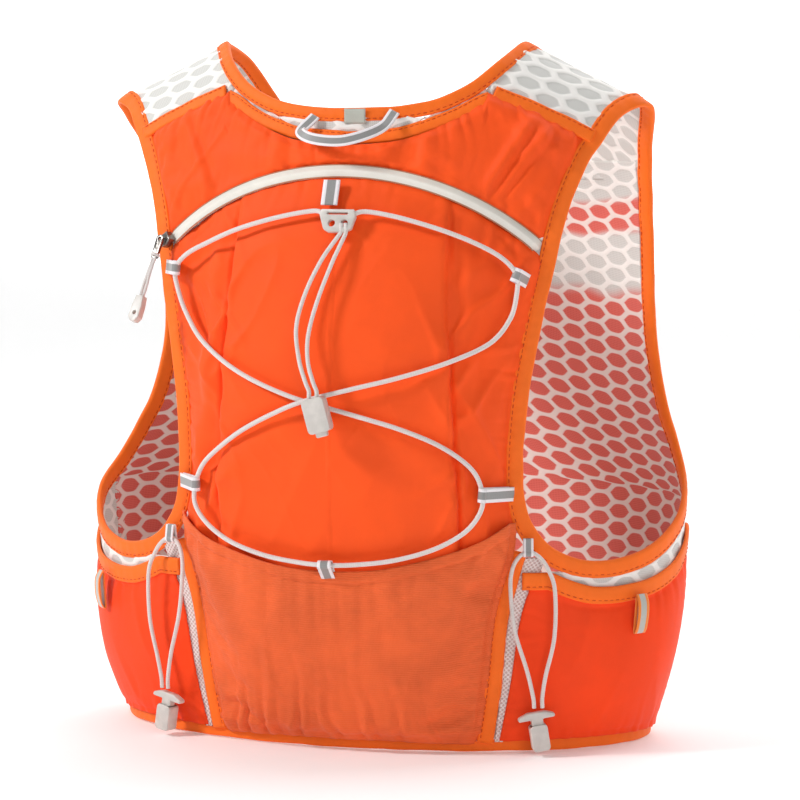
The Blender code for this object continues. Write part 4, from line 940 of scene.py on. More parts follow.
SIDE_CORD_ROUTES = {
    "right": [(0.1035, 0.1170, 0.0064), (0.0985, 0.1140, 0.0070), (0.0950, 0.1070, 0.0085),
              (0.0940, 0.0960, 0.0100),
              (0.0955, 0.0740, 0.0120), (0.1010, 0.0510, 0.0130), (0.1035, 0.0360, 0.0135),
              (0.1038, 0.0296, 0.0135)],
    "right_outer": [(0.1088, 0.1145, 0.0070), (0.1130, 0.1080, 0.0085), (0.1160, 0.0960, 0.0110),
                    (0.1150, 0.0700, 0.0125), (0.1100, 0.0480, 0.0135), (0.1080, 0.0360, 0.0135),
                    (0.1078, 0.0296, 0.0135)],
}
ZIP_REST = -math.asin(0.1085 / ZIP_RADIUS)
SLIDER_HEIGHT = 0.0046
PULL_RISE = 0.0023
PULL_LENGTH = 0.050
PULL_END_LIFT = 0.0290
PULL_END_SHIFT = 0.0015


def pull_frame():
    """Top of the pull on the slider's outer face, the way it hangs and the way it faces."""
    top = zip_point(ZIP_REST, 0.0, ZIP_THICKNESS / 2 + CLEARANCE + SLIDER_HEIGHT + PULL_RISE)
    foot = on_back(top[0] + PULL_END_SHIFT, top[2] - PULL_LENGTH)
    down = foot + outward(foot) * PULL_END_LIFT - top
    down /= np.linalg.norm(down)
    face = np.cross(down, np.cross(outward(top), down))
    return top, down, face / np.linalg.norm(face)


# ------------------------------------------------------------------ fabric pieces


def lay(surface, spacing, under=(0, 0, 0)):
    """A fine grid of a surface with its cloth map and the distances from its four borders.

    The fabric runs on by the lengths under, at its sides, foot and top, beneath the tapes there."""
    u, v = np.meshgrid(np.linspace(0, 1, 9), np.linspace(0, 1, 9), indexing="ij")
    coarse = surface(u, v)
    across = np.linalg.norm(np.diff(coarse, axis=0), axis=-1).sum(0).max()
    along = np.linalg.norm(np.diff(coarse, axis=1), axis=-1).sum(1).max()
    beside, below, above = under
    step = spacing * COARSE
    sides = [np.linspace(-a / length, 1 + b / length, max(4, round((length + a + b) / step)) + 1)
             for length, a, b in ((across, beside, beside), (along, below, above))]
    u, v = np.meshgrid(*sides, indexing="ij")
    points = surface(u, v)
    mu, mv = cloth_map(points)
    return SimpleNamespace(points=points, s=u, t=v, u=mu, v=mv, x=points[..., 0], z=points[..., 2],
                           left=mu - mu[:1], right=mu[-1:] - mu, bottom=mv, top=mv[:, -1:] - mv)


def cloth(name, surface, spacing, made, thickness, relief, nodes=(), base=0.0, values=None,
          under=(0, 0, 0), tuck=0.0):
    """A fabric piece on a surface, its relief added along its own normals.

    Its edges that run under a tape are let down by the length tuck."""
    c = lay(surface, spacing, under)
    height = base + relief(c)
    for side, grown in (("left", under[0]), ("right", under[0]), ("bottom", under[1]), ("top", under[2])):
        if grown:
            height = height - tuck * (1 - ease(getattr(c, side) / (grown + 0.0025)))
    points = c.points + directions(c.points) * height[..., None]
    held = {key: found(c) for key, found in (values or {}).items()}
    return settle(sheet_mesh(name, points, c.u, c.v, made, thickness, values=held), nodes)


def border(c, *sides):
    return np.minimum.reduce([getattr(c, side) for side in sides])


def settled(surface, grow, pressure=0.0, gravity=0.0, spacing=0.0032, most=0.0040, seed=1):
    """Folds of a fabric sewn down round its border and cut a share too large, from a cloth simulation.

    Gives a function of the shares across and along: how far the cloth stands off the surface."""
    c = lay(surface, spacing / COARSE)
    rows, columns = c.u.shape
    normal = directions(c.points)
    start = c.points + normal * (0.0004 * rough(c.u, c.v, 0.012, seed))[..., None]
    mesh = bpy.data.meshes.new("settling")
    faces, _ = grid_faces(rows, columns)
    mesh.from_pydata(start.reshape(-1, 3).tolist(), [], faces.tolist())
    piece = bpy.data.objects.new("settling", mesh)
    scene.collection.objects.link(piece)
    held = piece.vertex_groups.new(name="sewn")
    sewn = np.zeros((rows, columns), bool)
    sewn[[0, -1]] = sewn[:, [0, -1]] = True
    held.add([int(k) for k in np.flatnonzero(sewn)], 1.0, "REPLACE")
    hang = piece.modifiers.new("hang", "CLOTH")
    sets = hang.settings
    sets.quality = 7
    sets.mass = 0.15
    sets.tension_stiffness = sets.compression_stiffness = 12
    sets.shear_stiffness = 4
    sets.bending_stiffness = 0.4
    sets.air_damping = 2.0
    sets.vertex_group_mass = "sewn"
    sets.shrink_min = -grow
    sets.effector_weights.gravity = gravity
    if pressure:
        sets.use_pressure = True
        sets.uniform_pressure_force = pressure
    hang.collision_settings.use_collision = False
    hang.point_cache.frame_start, hang.point_cache.frame_end = 1, 20
    for frame_number in range(1, 21):
        scene.frame_set(frame_number)
    shown = piece.evaluated_get(bpy.context.evaluated_depsgraph_get())
    found = np.empty(rows * columns * 3, np.float32)
    shown.data.vertices.foreach_get("co", found)
    off = ((found.reshape(rows, columns, 3) - c.points) * normal).sum(-1)
    off = np.nan_to_num(off)
    off = np.where(off < 0, 0.0014 * np.tanh(off / 0.0014), most * np.tanh(off / most))
    bpy.data.objects.remove(piece)
    scene.frame_set(1)

    def height(at):
        x = np.clip(at.s, 0, 1) * (rows - 1)
        y = np.clip(at.t, 0, 1) * (columns - 1)
        i = np.clip(np.floor(x).astype(int), 0, rows - 2)
        j = np.clip(np.floor(y).astype(int), 0, columns - 2)
        fx, fy = x - i, y - j
        total = 0
        for a in range(-1, 3):
            for b in range(-1, 3):
                weight = cubic(fx - a) * cubic(fy - b)
                total = total + weight * off[np.clip(i + a, 0, rows - 1), np.clip(j + b, 0, columns - 1)]
        return total
    return height


def cubic(t):
    """Weight of a smooth spline through a grid's values."""
    t = np.abs(t)
    near = 2 / 3 - t ** 2 + t ** 3 / 2
    return np.where(t < 1, near, np.where(t < 2, (2 - t) ** 3 / 6, 0))


def honeycomb_relief(c):
    """Raised ribs round the cells, and the slight waviness of a soft mesh."""
    edge = hex_edge_at(c.u, c.v)
    rib = 1 - ease((edge - HEX_LINE + 0.06) / 0.16)
    return 0.0006 * rib + 0.0006 * rough(c.u, c.v, 0.035, 3)


def sweep(name, route, normal, across, profile, made, closed=False, twist=None):
    """A closed profile of (across, off the face) pairs carried along a route; twist changes it by place."""
    profile = np.asarray(profile, float)
    rings = []
    run = run_along(route)
    for k in range(len(route)):
        shape = profile if twist is None else twist(profile, run[k])
        rings.append(route[k] + shape[:, :1] * across[k] + shape[:, 1:] * normal[k])
    points = np.array(rings)
    rows, columns = points.shape[:2]
    faces, _ = grid_faces(rows, columns, close_rows=closed, close_columns=True)
    length = np.linalg.norm(np.diff(np.vstack([profile, profile[:1]]), axis=0), axis=1)
    around = np.concatenate([[0], np.cumsum(length)])
    uvs = []
    r = np.arange(rows if closed else rows - 1)
    c = np.arange(columns)
    r, c = [a.ravel() for a in np.meshgrid(r, c, indexing="ij")]
    ends = np.append(run, run[-1] + (np.linalg.norm(route[0] - route[-1]) if closed else 0))
    for a, b in ((r, c), (r + 1, c), (r + 1, c + 1), (r, c + 1)):
        uvs.append(np.stack([ends[a], around[b]], -1))
    uvs = np.stack(uvs, 1)
    first = faces[0]
    flat = points.reshape(-1, 3)
    middle = rings[0].mean(0)
    facing_out = np.cross(flat[first[1]] - flat[first[0]], flat[first[3]] - flat[first[0]])
    if facing_out @ (flat[first].mean(0) - middle) < 0:
        faces, uvs = faces[:, ::-1], uvs[:, ::-1]
    piece = mesh_object(name, flat, faces, uvs, made)
    if not closed:
        shape = bmesh.new()
        shape.from_mesh(piece.data)
        bmesh.ops.holes_fill(shape, edges=[e for e in shape.edges if e.is_boundary], sides=0)
        bmesh.ops.recalc_face_normals(shape, faces=shape.faces[:])
        shape.to_mesh(piece.data)
        shape.free()
    return piece


STITCH_PITCH = 0.0034
CAPSULE = [(-1.0, 0.35), (-0.72, 1.0), (0.72, 1.0), (1.0, 0.35)]


def stitches(name, centres, along, normal, length=0.0022, radius=0.00030, made=None):
    """A row of sewn stitches: short rounded threads lying on the fabric."""
    along, normal = unit(along), unit(normal)
    side = np.cross(along, normal)
    turns = np.arange(6) * math.pi / 3
    rings = []
    for share, size in CAPSULE:
        ring = [centres + along * share * length / 2 + radius * size
                * (np.cos(t) * side + np.sin(t) * normal) for t in turns]
        rings.append(np.stack(ring, 1))
    points = np.stack(rings, 1)
    faces, _ = grid_faces(4, 6, close_columns=True)
    faces = np.vstack([faces, [[0, 1, 2, 3], [0, 3, 4, 5], [18, 21, 20, 19], [18, 23, 22, 21]]])
    every = (np.arange(len(centres))[:, None, None] * 24 + faces[None]).reshape(-1, 4)
    flat = points.reshape(-1, 3)
    piece = mesh_object(name, flat, every, flat[every][..., :2], made or thread)
    return settle(piece)


FOLD_PROFILE = [(0.0, 0.0), (0.02, 0.50), (0.07, 0.82), (0.16, 0.98), (0.30, 1.0), (0.50, 0.96),
                (0.68, 0.88), (0.77, 0.70), (0.82, 0.60), (0.87, 0.70), (0.95, 0.66), (1.0, 0.34),
                (1.0, -0.34), (0.95, -0.66), (0.87, -0.70), (0.82, -0.60), (0.77, -0.70),
                (0.50, -0.96), (0.16, -0.98), (0.02, -0.50)]


def binding(name, route, side, closed=False, lift=0.0, width=TAPE_WIDTH, half=TAPE_HALF,
            upright=False, seed=1, sewn=(1,)):
    """A tape folded over an edge: rounded at the fold, drawn in along its row of stitches."""
    length = np.linalg.norm(np.diff(route, axis=0), axis=1).sum()
    route = smooth(route, round(length / (0.0016 * COARSE)), closed)
    normal, across = tape_directions(route, side, closed, upright)
    route = route + normal * lift
    profile = np.array(FOLD_PROFILE) * [width, half]

    def twist(shape, run):
        drawn = math.cos(2 * math.pi * run / (2 * STITCH_PITCH))
        loose = float(rough(run, seed, 0.012, seed))
        bent = shape.copy()
        bent[:, 1] *= 1 + (0.10 * drawn + 0.16 * loose) * np.clip(1.6 * shape[:, 0] / width, 0, 1)
        bent[:, 0] += 0.00035 * loose
        return bent
    tape_piece = sweep(name + "_tape", route, normal, across, profile, orange_tape, closed, twist)
    settle(tape_piece, [name])
    run = run_along(route)
    wanted = np.arange(STITCH_PITCH, run[-1] - STITCH_PITCH / 2, STITCH_PITCH)

    def at(values):
        return np.stack([np.interp(wanted, run, values[:, k]) for k in range(3)], -1)
    for face in sewn:
        centres = at(route) + at(across) * 0.82 * width + at(normal) * face * half * 0.66
        heading = at(np.gradient(route, axis=0))
        stitches(f"{name}_thread_{'in' if face < 0 else 'out'}", centres, heading, at(normal))
    return tape_piece


def tube(name, route, radius, made, closed_ends=True, sides=14):
    """A round cord as a mesh, its cloth map along it in metres and round it from 0 to 1."""
    route = np.asarray(route, float)
    tangent = unit(np.gradient(route, axis=0))
    frame_x = unit(np.cross(tangent[0], [0.3, 0.5, 0.8]))
    xs = []
    for t in tangent:
        frame_x = unit(frame_x - t * (frame_x @ t))
        xs.append(frame_x)
    xs = np.array(xs)
    ys = np.cross(tangent, xs)
    turns = np.arange(sides) * 2 * math.pi / sides
    run = run_along(route)
    around, along = 3 * turns[None], 2400 * run[:, None]
    plait = 1 + 0.025 * np.sin(around + along) * np.sin(around - along)
    ring = np.cos(turns)[None, :, None] * xs[:, None] + np.sin(turns)[None, :, None] * ys[:, None]
    size = np.full(len(run), radius)
    points = route[:, None] + ring * (size[:, None] * plait)[..., None]
    faces, _ = grid_faces(len(route), sides, close_columns=True)
    r = np.arange(len(route) - 1)
    c = np.arange(sides)
    r, c = [a.ravel() for a in np.meshgrid(r, c, indexing="ij")]
    uvs = np.stack([np.stack([run[a], b / sides], -1)
                    for a, b in ((r, c), (r + 1, c), (r + 1, c + 1), (r, c + 1))], 1)
    piece = mesh_object(name, points.reshape(-1, 3), faces[:, ::-1], uvs[:, ::-1], made)
    shape = bmesh.new()
    shape.from_mesh(piece.data)
    bmesh.ops.holes_fill(shape, edges=[e for e in shape.edges if e.is_boundary], sides=0)
    bmesh.ops.recalc_face_normals(shape, faces=shape.faces[:])
    shape.to_mesh(piece.data)
    shape.free()
    return piece


def cord_route(route, step=0.0009):
    """A cord's centreline through its points, finely divided."""
    route = np.asarray(route, float)
    length = np.linalg.norm(np.diff(smooth(route, 400), axis=0), axis=1).sum()
    return smooth(route, max(12, round(length / step))), length


def strip(name, line, width_way, width, thickness, made, count=7):
    """A flat ribbon along a line; the cloth map's V runs across it from -1 to 1."""
    line = np.asarray(line, float)
    share = np.linspace(-1, 1, count)
    way = np.broadcast_to(unit(width_way), line.shape)
    points = line[:, None] + way[:, None] * (share * width / 2)[None, :, None]
    run = run_along(line)
    faces, corners = grid_faces(len(line), count)
    uvs = np.stack([np.stack([run[g[:, 0]], share[g[:, 1]]], -1) for g in corners], 1)
    piece = mesh_object(name, points.reshape(-1, 3), faces, uvs, made)
    solid = piece.modifiers.new("thickness", "SOLIDIFY")
    solid.thickness = thickness
    solid.offset = 0
    return piece


def refined(node, made, bevel=0.0006, body=None, name=None, angle=34):
    """A CAD node's own shape with its flat faces joined and its edges rounded."""
    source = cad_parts[node]
    shape = bmesh.new()
    shape.from_mesh(source.data)
    bmesh.ops.remove_doubles(shape, verts=shape.verts[:], dist=1e-6)
    bmesh.ops.dissolve_limit(shape, angle_limit=math.radians(1.2), verts=shape.verts[:],
                             edges=shape.edges[:])
    layer = shape.loops.layers.uv.new("cloth")
    for face in shape.faces:
        flat = max(range(3), key=lambda k: abs(face.normal[k]))
        a, b = [k for k in range(3) if k != flat]
        for loop in face.loops:
            loop[layer].uv = (loop.vert.co[a], loop.vert.co[b])
    mesh = bpy.data.meshes.new(node + "_shaped")
    shape.to_mesh(mesh)
    shape.free()
    mesh.materials.clear()
    mesh.materials.append(made)
    mesh.shade_smooth()
    piece = bpy.data.objects.new(name or node + "_shaped", mesh)
    piece.matrix_world = source.matrix_world
    scene.collection.objects.link(piece)
    round_off = piece.modifiers.new("edges", "BEVEL")
    round_off.width = bevel
    round_off.segments = 3
    round_off.limit_method = "ANGLE"
    round_off.angle_limit = math.radians(angle)
    round_off.harden_normals = True
    round_off.use_clamp_overlap = True
    return settle(piece, [node], body or "vest")


COARSE = 1.0

# ------------------------------------------------------------------ the back

BUNGEE_LINE = smooth(np.array(BUNGEE_ROUTE), 700)


def from_bungee(x, z):
    """Distance of places on the compartment from the bungee's line."""
    near = np.full(x.shape, 9.0)
    for a, b in BUNGEE_LINE:
        near = np.minimum(near, (x - a) ** 2 + (z - b) ** 2)
    return np.sqrt(near)


PLEAT = [(0.100, 0.0700), (0.150, 0.0690), (0.200, 0.0665), (0.260, 0.0630), (0.312, 0.0600)]
pleat_line = graph(PLEAT)


compartment_surface = back_surface(level_line(INSET), zip_low_z, loaded, top_y=zip_low_y)
yoke_surface = back_surface(zip_high_z, band_or_yoke, loaded, bottom_y=zip_high_y)
compartment_folds = settled(compartment_surface, 0.055, gravity=0.3, most=0.0045, seed=201)
yoke_folds = settled(yoke_surface, 0.050, gravity=0.2, seed=202)


def compartment_relief(c):
    """The box pleats, the cord's press into the cloth, broad folds and the gathers at the seams."""
    inside = pleat_line(c.z) - np.abs(c.x)
    window = ease((0.325 - c.z) / 0.05) * ease((c.z - 0.045) / 0.09)
    panel = -0.0034 * (1 - ease(inside / 0.0036 + 0.5)) * ease((border(c, "left", "right") - 0.006) / 0.022)
    crease = -0.0032 * np.exp(-((inside + 0.0022) / 0.0012) ** 2)
    second = 0.0018 * np.exp(-((inside + 0.0120) / 0.0045) ** 2)
    near = from_bungee(c.x, c.z)
    pressed = -0.0011 * np.exp(-(near / 0.0035) ** 2) + 0.0007 * np.exp(-((near - 0.010) / 0.006) ** 2)
    outer = ease((np.abs(c.x) - 0.045) / 0.03)
    broad = 0.0018 * rough(c.u, c.v, 0.055, 11, 1.6) + 0.0007 * rough(c.u, c.v, 0.024, 12, 2.2)
    lean = c.u + 0.45 * c.v * np.sign(c.x)
    crumple = (0.0010 + 0.0044 * outer) * folds(lean, c.v, 0.024, 21, 2.6)
    crumple = crumple + (0.0004 + 0.0026 * outer) * folds(c.u - 0.7 * c.v * np.sign(c.x), c.v, 0.017, 22, 2.0)
    edge = border(c, "left", "right", "bottom", "top")
    calm = ease(edge / 0.020)
    seams = (pucker(c.v, c.left, 31) + pucker(c.v, c.right, 32)) * 0.00055
    seams = seams + pucker(c.u, c.bottom, 33, 0.009, 0.016) * 0.0010
    seams = seams + pucker(c.u, c.top, 34, 0.011, 0.010) * 0.0004
    height = window * (panel + crease + second) + pressed * calm + calm * (0.6 * broad + 0.8 * crumple)
    height = height + seams
    height = height + compartment_folds(c)
    height = np.minimum(height, 0.0004 + 0.26 * np.maximum(near - 0.0016, 0))
    covered = ease((pocket_line(np.abs(c.x)) - c.z - 0.001) / 0.006)
    height = np.minimum(height, 0.0060 * (1 - covered) - 0.0002 * covered)
    return np.maximum(height, -0.0018 - 0.0024 * ease((np.abs(c.x) - 0.0585) / 0.006))


def yoke_relief(c):
    """A smooth middle, gathers at the tapes and two soft pleats towards the right shoulder."""
    edge = border(c, "left", "right", "bottom", "top")
    calm = ease(edge / 0.016)
    broad = 0.0016 * rough(c.u, c.v, 0.050, 41) + 0.0006 * rough(c.u, c.v, 0.018, 42)
    spread = np.abs(c.x) / 0.11
    radiating = c.u - 0.7 * (c.z - 0.33)
    gather = 0.0014 * folds(radiating, c.v, 0.020, 43, 4.0) * ease(spread)
    pleats = 0
    for x0, lean, size in ((0.094, 0.55, 0.0022), (0.106, 0.70, 0.0016), (-0.098, -0.5, 0.0014)):
        off = c.x - x0 - lean * (c.z - 0.345)
        pleats = pleats + size * np.exp(-(off / 0.0040) ** 2)
        pleats = pleats - 0.7 * size * np.exp(-((off - 0.005) / 0.003) ** 2)
    seams = pucker(c.u, c.top, 44, 0.0085, 0.012) * 0.0007 + pucker(c.u, c.bottom, 45, 0.010, 0.008) * 0.0003
    return calm * (0.5 * broad + gather + pleats) + seams + yoke_folds(c)


def pocket_relief(c):
    """A sheer pocket hanging from its corners: sagging folds, a hem band and scalloped gathers."""
    sag = 0
    for side, seed in ((-1, 51), (1, 52)):
        away_x, away_z = c.x * side - 0.088, c.z - 0.127
        turn = np.arctan2(-away_z, -away_x)
        reach = np.hypot(away_x, away_z)
        ray = np.sin(9 * turn + 1.3 * seed) + 0.6 * np.sin(17 * turn + seed)
        sag = sag + 0.0011 * ray * np.exp(-reach / 0.060) * ease(reach / 0.012)
    hanging = 0.0016 * rough(c.u, c.v, 0.042, 53, 0.7) + 0.0010 * folds(c.u, c.v + 0.25 * c.u, 0.020, 54, 0.8)
    calm = ease(border(c, "left", "right", "bottom", "top") / 0.012)
    hem = 0.0010 * (1 - ease((c.top - 0.0062) / 0.0010)) - 0.0005 * np.exp(-((c.top - 0.0068) / 0.0008) ** 2)
    foot = pucker(c.u, c.bottom, 55, 0.0110, 0.020) * 0.0020 * ease(c.bottom / 0.004)
    sides = (pucker(c.v, c.left, 56) + pucker(c.v, c.right, 57)) * 0.0006
    return np.maximum(calm * (0.7 * sag + 0.6 * hanging) + hem + foot + sides + pocket_folds(c), -0.0019)


def pocket_lift(x, z):
    return loaded(x, z) + FABRIC + POCKET_GAP


def neck_surface(u, v):
    x = (2 * u - 1) * NECK_MESH_HALF
    low = yoke_line(np.abs(x)) + YOKE_TAPE / 2 + 2 * CLEARANCE
    return on_back(x, low + v * (neck_inner_height(x) - low))


pocket_surface = back_surface(level_line(INSET), pocket_line, pocket_lift)
pocket_folds = settled(pocket_surface, 0.045, gravity=0.6, seed=203)
white_behind = {"behind": lambda c: 0 * c.u}
back_skin = back_surface(level_line(INSET), band_or_yoke, lambda x, z: 0 * x)
cloth("back_mesh", back_skin, 0.0017, white_mesh, 0.0012, honeycomb_relief, ["back_panel"],
      -0.0012, white_behind, under=(0.005, 0.005, 0.005))
pack_body = cloth("compartment_cloth",
                  compartment_surface,
                  0.0013, orange_fabric, 0.0008, compartment_relief, ["main_compartment"],
                  under=(0.004, 0.004, 0.0012), tuck=0.0016)
cloth("yoke_cloth", yoke_surface,
      0.0012, orange_fabric, 0.0008, yoke_relief, ["yoke"],
      under=(0.004, 0.0012, 0.0035), tuck=0.0018)
cloth("pocket_cloth", pocket_surface,
      0.0013, stretch_mesh, 0.0006, pocket_relief, ["mesh_pocket"],
      under=(0.004, 0.006, 0), tuck=0.0030)
cloth("neck_cloth", neck_surface, 0.0012, white_mesh, 0.0012, honeycomb_relief, ["neck_mesh"],
      -0.0008, white_behind, under=(0.018, 0.004, 0.006))


# ------------------------------------------------------------------ the long zip


def zip_band():
    reach = math.asin(0.1120 / ZIP_RADIUS)
    turns = np.linspace(-math.asin(0.1070 / ZIP_RADIUS), reach, 170)
    half, thick = ZIP_WIDTH / 2, 0.0006
    profile = [(-half, 0.0), (-half + 0.0003, 0.9), (-0.0009, 1.0), (-0.0006, 1.5), (0.0006, 1.5),
               (0.0009, 1.0), (half - 0.0003, 0.9), (half, 0.0), (half, -1.0), (-half, -1.0)]
    profile = [(a, b * thick) for a, b in profile]
    route = zip_point(turns)
    dive = -0.0040 * ease((np.abs(route[:, 0]) - 0.1050) / 0.0060)
    face = unit(zip_point(turns, 0.0, 0.01) - route)
    route = route + face * dive[:, None]
    across = unit(zip_point(turns, 0.01) - route)
    settle(sweep("zip_band", route, face, across, profile, zip_cloth), ["zip_tape"])
    # Thin dark cords along both edges of the tape, in the zip_shadow colour: painted shadow of the gaps
    # beside the tape.
    for name, place in (("zip_lip_low", -half + 0.0001), ("zip_lip_high", half - 0.0001)):
        settle(tube(name, zip_point(turns, place, 0.0004) + face * dive[:, None], 0.00040, zip_shadow,
                    sides=8))


# Dark orange-brown of the painted shadow along the zip tape's edges.
zip_shadow = plain_weave("zip_shadow", (0.50, 0.22, 0.12), sheen=0.0)
zip_band()


# ------------------------------------------------------------------ bindings

neck_line_3d = neck_route()
binding("neck_binding", neck_line_3d, 1, width=NECK_TAPE, seed=2, sewn=(1, -1))
hem_turn = angle_of(FRONT_EDGE[0][1], 0.0, True)
hem_turns = np.linspace(-hem_turn, hem_turn, 91)
binding("hem_binding", on_form(hem_turns, 0 * hem_turns), 1, upright=True, seed=3)
yoke_x = np.linspace(-0.0770, 0.0770, 27)
yoke_route = on_back(yoke_x, yoke_line(np.abs(yoke_x)))
yoke_across = np.cross(outward(yoke_route), unit(np.gradient(yoke_route, axis=0)))
yoke_route = yoke_route - yoke_across * 0.5 * YOKE_TAPE
binding("yoke_binding", yoke_route, 1, lift=0.0012, half=0.0014, width=YOKE_TAPE, seed=4)

for side, sign in SIDES:
    band_x = np.linspace(0.0790, 0.1330, 10)
    band = on_back(band_x, shoulder_line(band_x))
    band = band - np.cross(outward(band), unit(np.gradient(band, axis=0))) * 0.5 * NECK_TAPE
    binding(f"shoulder_band_{side}", band * [sign, 1, 1], sign, lift=0.0012, half=0.0014,
            width=NECK_TAPE, seed=5)
    binding(f"armhole_binding_{side}", armhole_route() * [sign, 1, 1], -sign, closed=True,
            seed=6 + sign, sewn=(1, -1))
    edge_z = np.linspace(0.1150, 0.0050, 16)
    binding(f"side_edge_binding_{side}", on_back(sign * back_edge(edge_z), edge_z), -sign,
            lift=0.0010, width=TAPE_WIDTH - CLEARANCE, seed=8)
    pocket_u = np.linspace(-0.06, 1.04, 22)
    pocket_angle, pocket_z = side_pocket_chart(pocket_u, np.ones_like(pocket_u), 0.0)
    binding(f"side_pocket_binding_{side}", on_form(pocket_angle, pocket_z) * [sign, 1, 1], -sign,
            lift=OUTER_BASE + 0.0010, half=0.0013, seed=9)

# ------------------------------------------------------------------ shoulders, sides and front


def run_on(t, share, values):
    """Values between their places, running straight on past both ends."""
    first = (values[1] - values[0]) / (share[1] - share[0])
    last = (values[-1] - values[-2]) / (share[-1] - share[-2])
    return np.interp(t, share, values) + np.minimum(t, 0) * first + np.maximum(t - 1, 0) * last


def shoulder_surface(sign):
    neck = neck_inner_edge()
    neck = neck[(neck[:, 0] > 0.05) & (neck[:, 2] > FRONT_TOP - 0.01)]
    arm = armhole_inner_edge()
    arm = arm[arm[:, 2] > FRONT_TOP - 0.01]
    share, neck_x, neck_tilt = shoulder_side(neck, 0.3835)
    _, arm_x, arm_tilt = shoulder_side(arm, 0.3590)

    def surface(u, v):
        near_x, near_tilt = run_on(v, share, neck_x), run_on(v, share, neck_tilt)
        far_x, far_tilt = run_on(v, share, arm_x), run_on(v, share, arm_tilt)
        x = near_x + u * (far_x - near_x)
        return over_shoulder(x, near_tilt + u * (far_tilt - near_tilt)) * [sign, 1, 1]
    return surface


def front_surface(sign):
    order = np.argsort(neck_inner_z)
    rise = np.argsort(armhole_z[front_side])
    low = armhole_z[front_side][rise][0]

    def surface(u, v):
        z = INSET + v * (FRONT_TOP - 5 * CLEARANCE - INSET)
        inner = np.interp(z, neck_inner_z[order], neck_inner_angle[order])
        outer = np.interp(z, armhole_z[front_side][rise], armhole_angle[front_side][rise])
        outer = np.where(z < low, SIDE_SEAM, outer)
        return on_form(outer + u * (inner - outer), z) * [sign, 1, 1]
    return surface


def spacer_surface(sign):
    def surface(u, v):
        z = INSET + v * (SPACER_TOP - INSET)
        return on_form(spacer_angle(z, u), z) * [sign, 1, 1]
    return surface


def lining_surface(sign):
    def surface(u, v):
        start = side_start(INSET + 0 * u)
        angle = start + u * (SIDE_SEAM - 0.008 - start)
        top = armhole_bottom(np.degrees(angle)) - CLEARANCE
        z = INSET + v * (top - INSET)
        start = side_start(z)
        return on_form(start + u * (SIDE_SEAM - 0.008 - start), z) * [sign, 1, 1]
    return surface


def side_pocket_surface(sign):
    def surface(u, v):
        angle, z = side_pocket_chart(u, v, 1.15 * INSET + 2 * CLEARANCE)
        points = on_form(angle, z)
        share = np.sin(math.pi * np.clip(u, 0, 1)) * np.sin(math.pi * np.clip(v, 0, 1))
        fullness = SIDE_FULLNESS * np.maximum(share, 0) ** 0.6
        return (points + outward(points) * (OUTER_BASE + fullness)[..., None]) * [sign, 1, 1]
    return surface


def flask_surface(sign):
    def surface(u, v):
        z = INSET + v * (FLASK_TOP_OUTER + u * (FLASK_TOP_INNER - FLASK_TOP_OUTER) - INSET)
        inner = angle_of(front_edge(z) + INSET + 0.002, z, True)
        outer = angle_of(0.1360 + 0 * z, z, True)
        points = on_form(outer + u * (inner - outer), z)
        mouth = FLASK_MOUTH + (1 - FLASK_MOUTH) * ease((1 - v) / 0.45)
        share = np.maximum(np.sin(math.pi * np.clip(u, 0, 1)), 0) ** 0.5
        fullness = FLASK_FULLNESS * share * ease(v / 0.35) * mouth
        return (points + outward(points) * (OUTER_BASE + fullness)[..., None]) * [sign, 1, 1]
    return surface


def chest_mask(c):
    """1 where orange fabric lies behind the mesh of the front, with wavering edges."""
    z = c.z + 0.004 * rough(c.u, c.v, 0.02, 61)
    band = ease((z - 0.287) / 0.006) * ease((0.312 - z) / 0.006)
    return np.maximum(band, ease((0.258 - z) / 0.010))


def side_relief(c):
    """Satin cloth drawn in at its seams, with a few soft vertical folds."""
    calm = ease(border(c, "left", "right", "bottom", "top") / 0.014)
    soft = 0.0014 * rough(c.u, c.v, 0.045, 71, 1.8) + 0.0009 * folds(c.u, c.v, 0.024, 72, 3.0)
    seams = pucker(c.u, c.bottom, 73, 0.010, 0.012) * 0.0006 + pucker(c.u, c.top, 74, 0.009, 0.010) * 0.0006
    return calm * soft + seams + (pucker(c.v, c.left, 75) + pucker(c.v, c.right, 76)) * 0.0004


def flask_relief(c):
    calm = ease(border(c, "left", "right", "bottom", "top") / 0.014)
    hem = 0.0009 * (1 - ease((c.top - 0.0100) / 0.0012))
    gather = pucker(c.u, c.bottom, 81, 0.009, 0.016) * 0.0009 + pucker(c.u, c.top, 82, 0.010, 0.020) * 0.0007
    return calm * (0.0016 * rough(c.u, c.v, 0.040, 83, 2.0)) + hem + gather


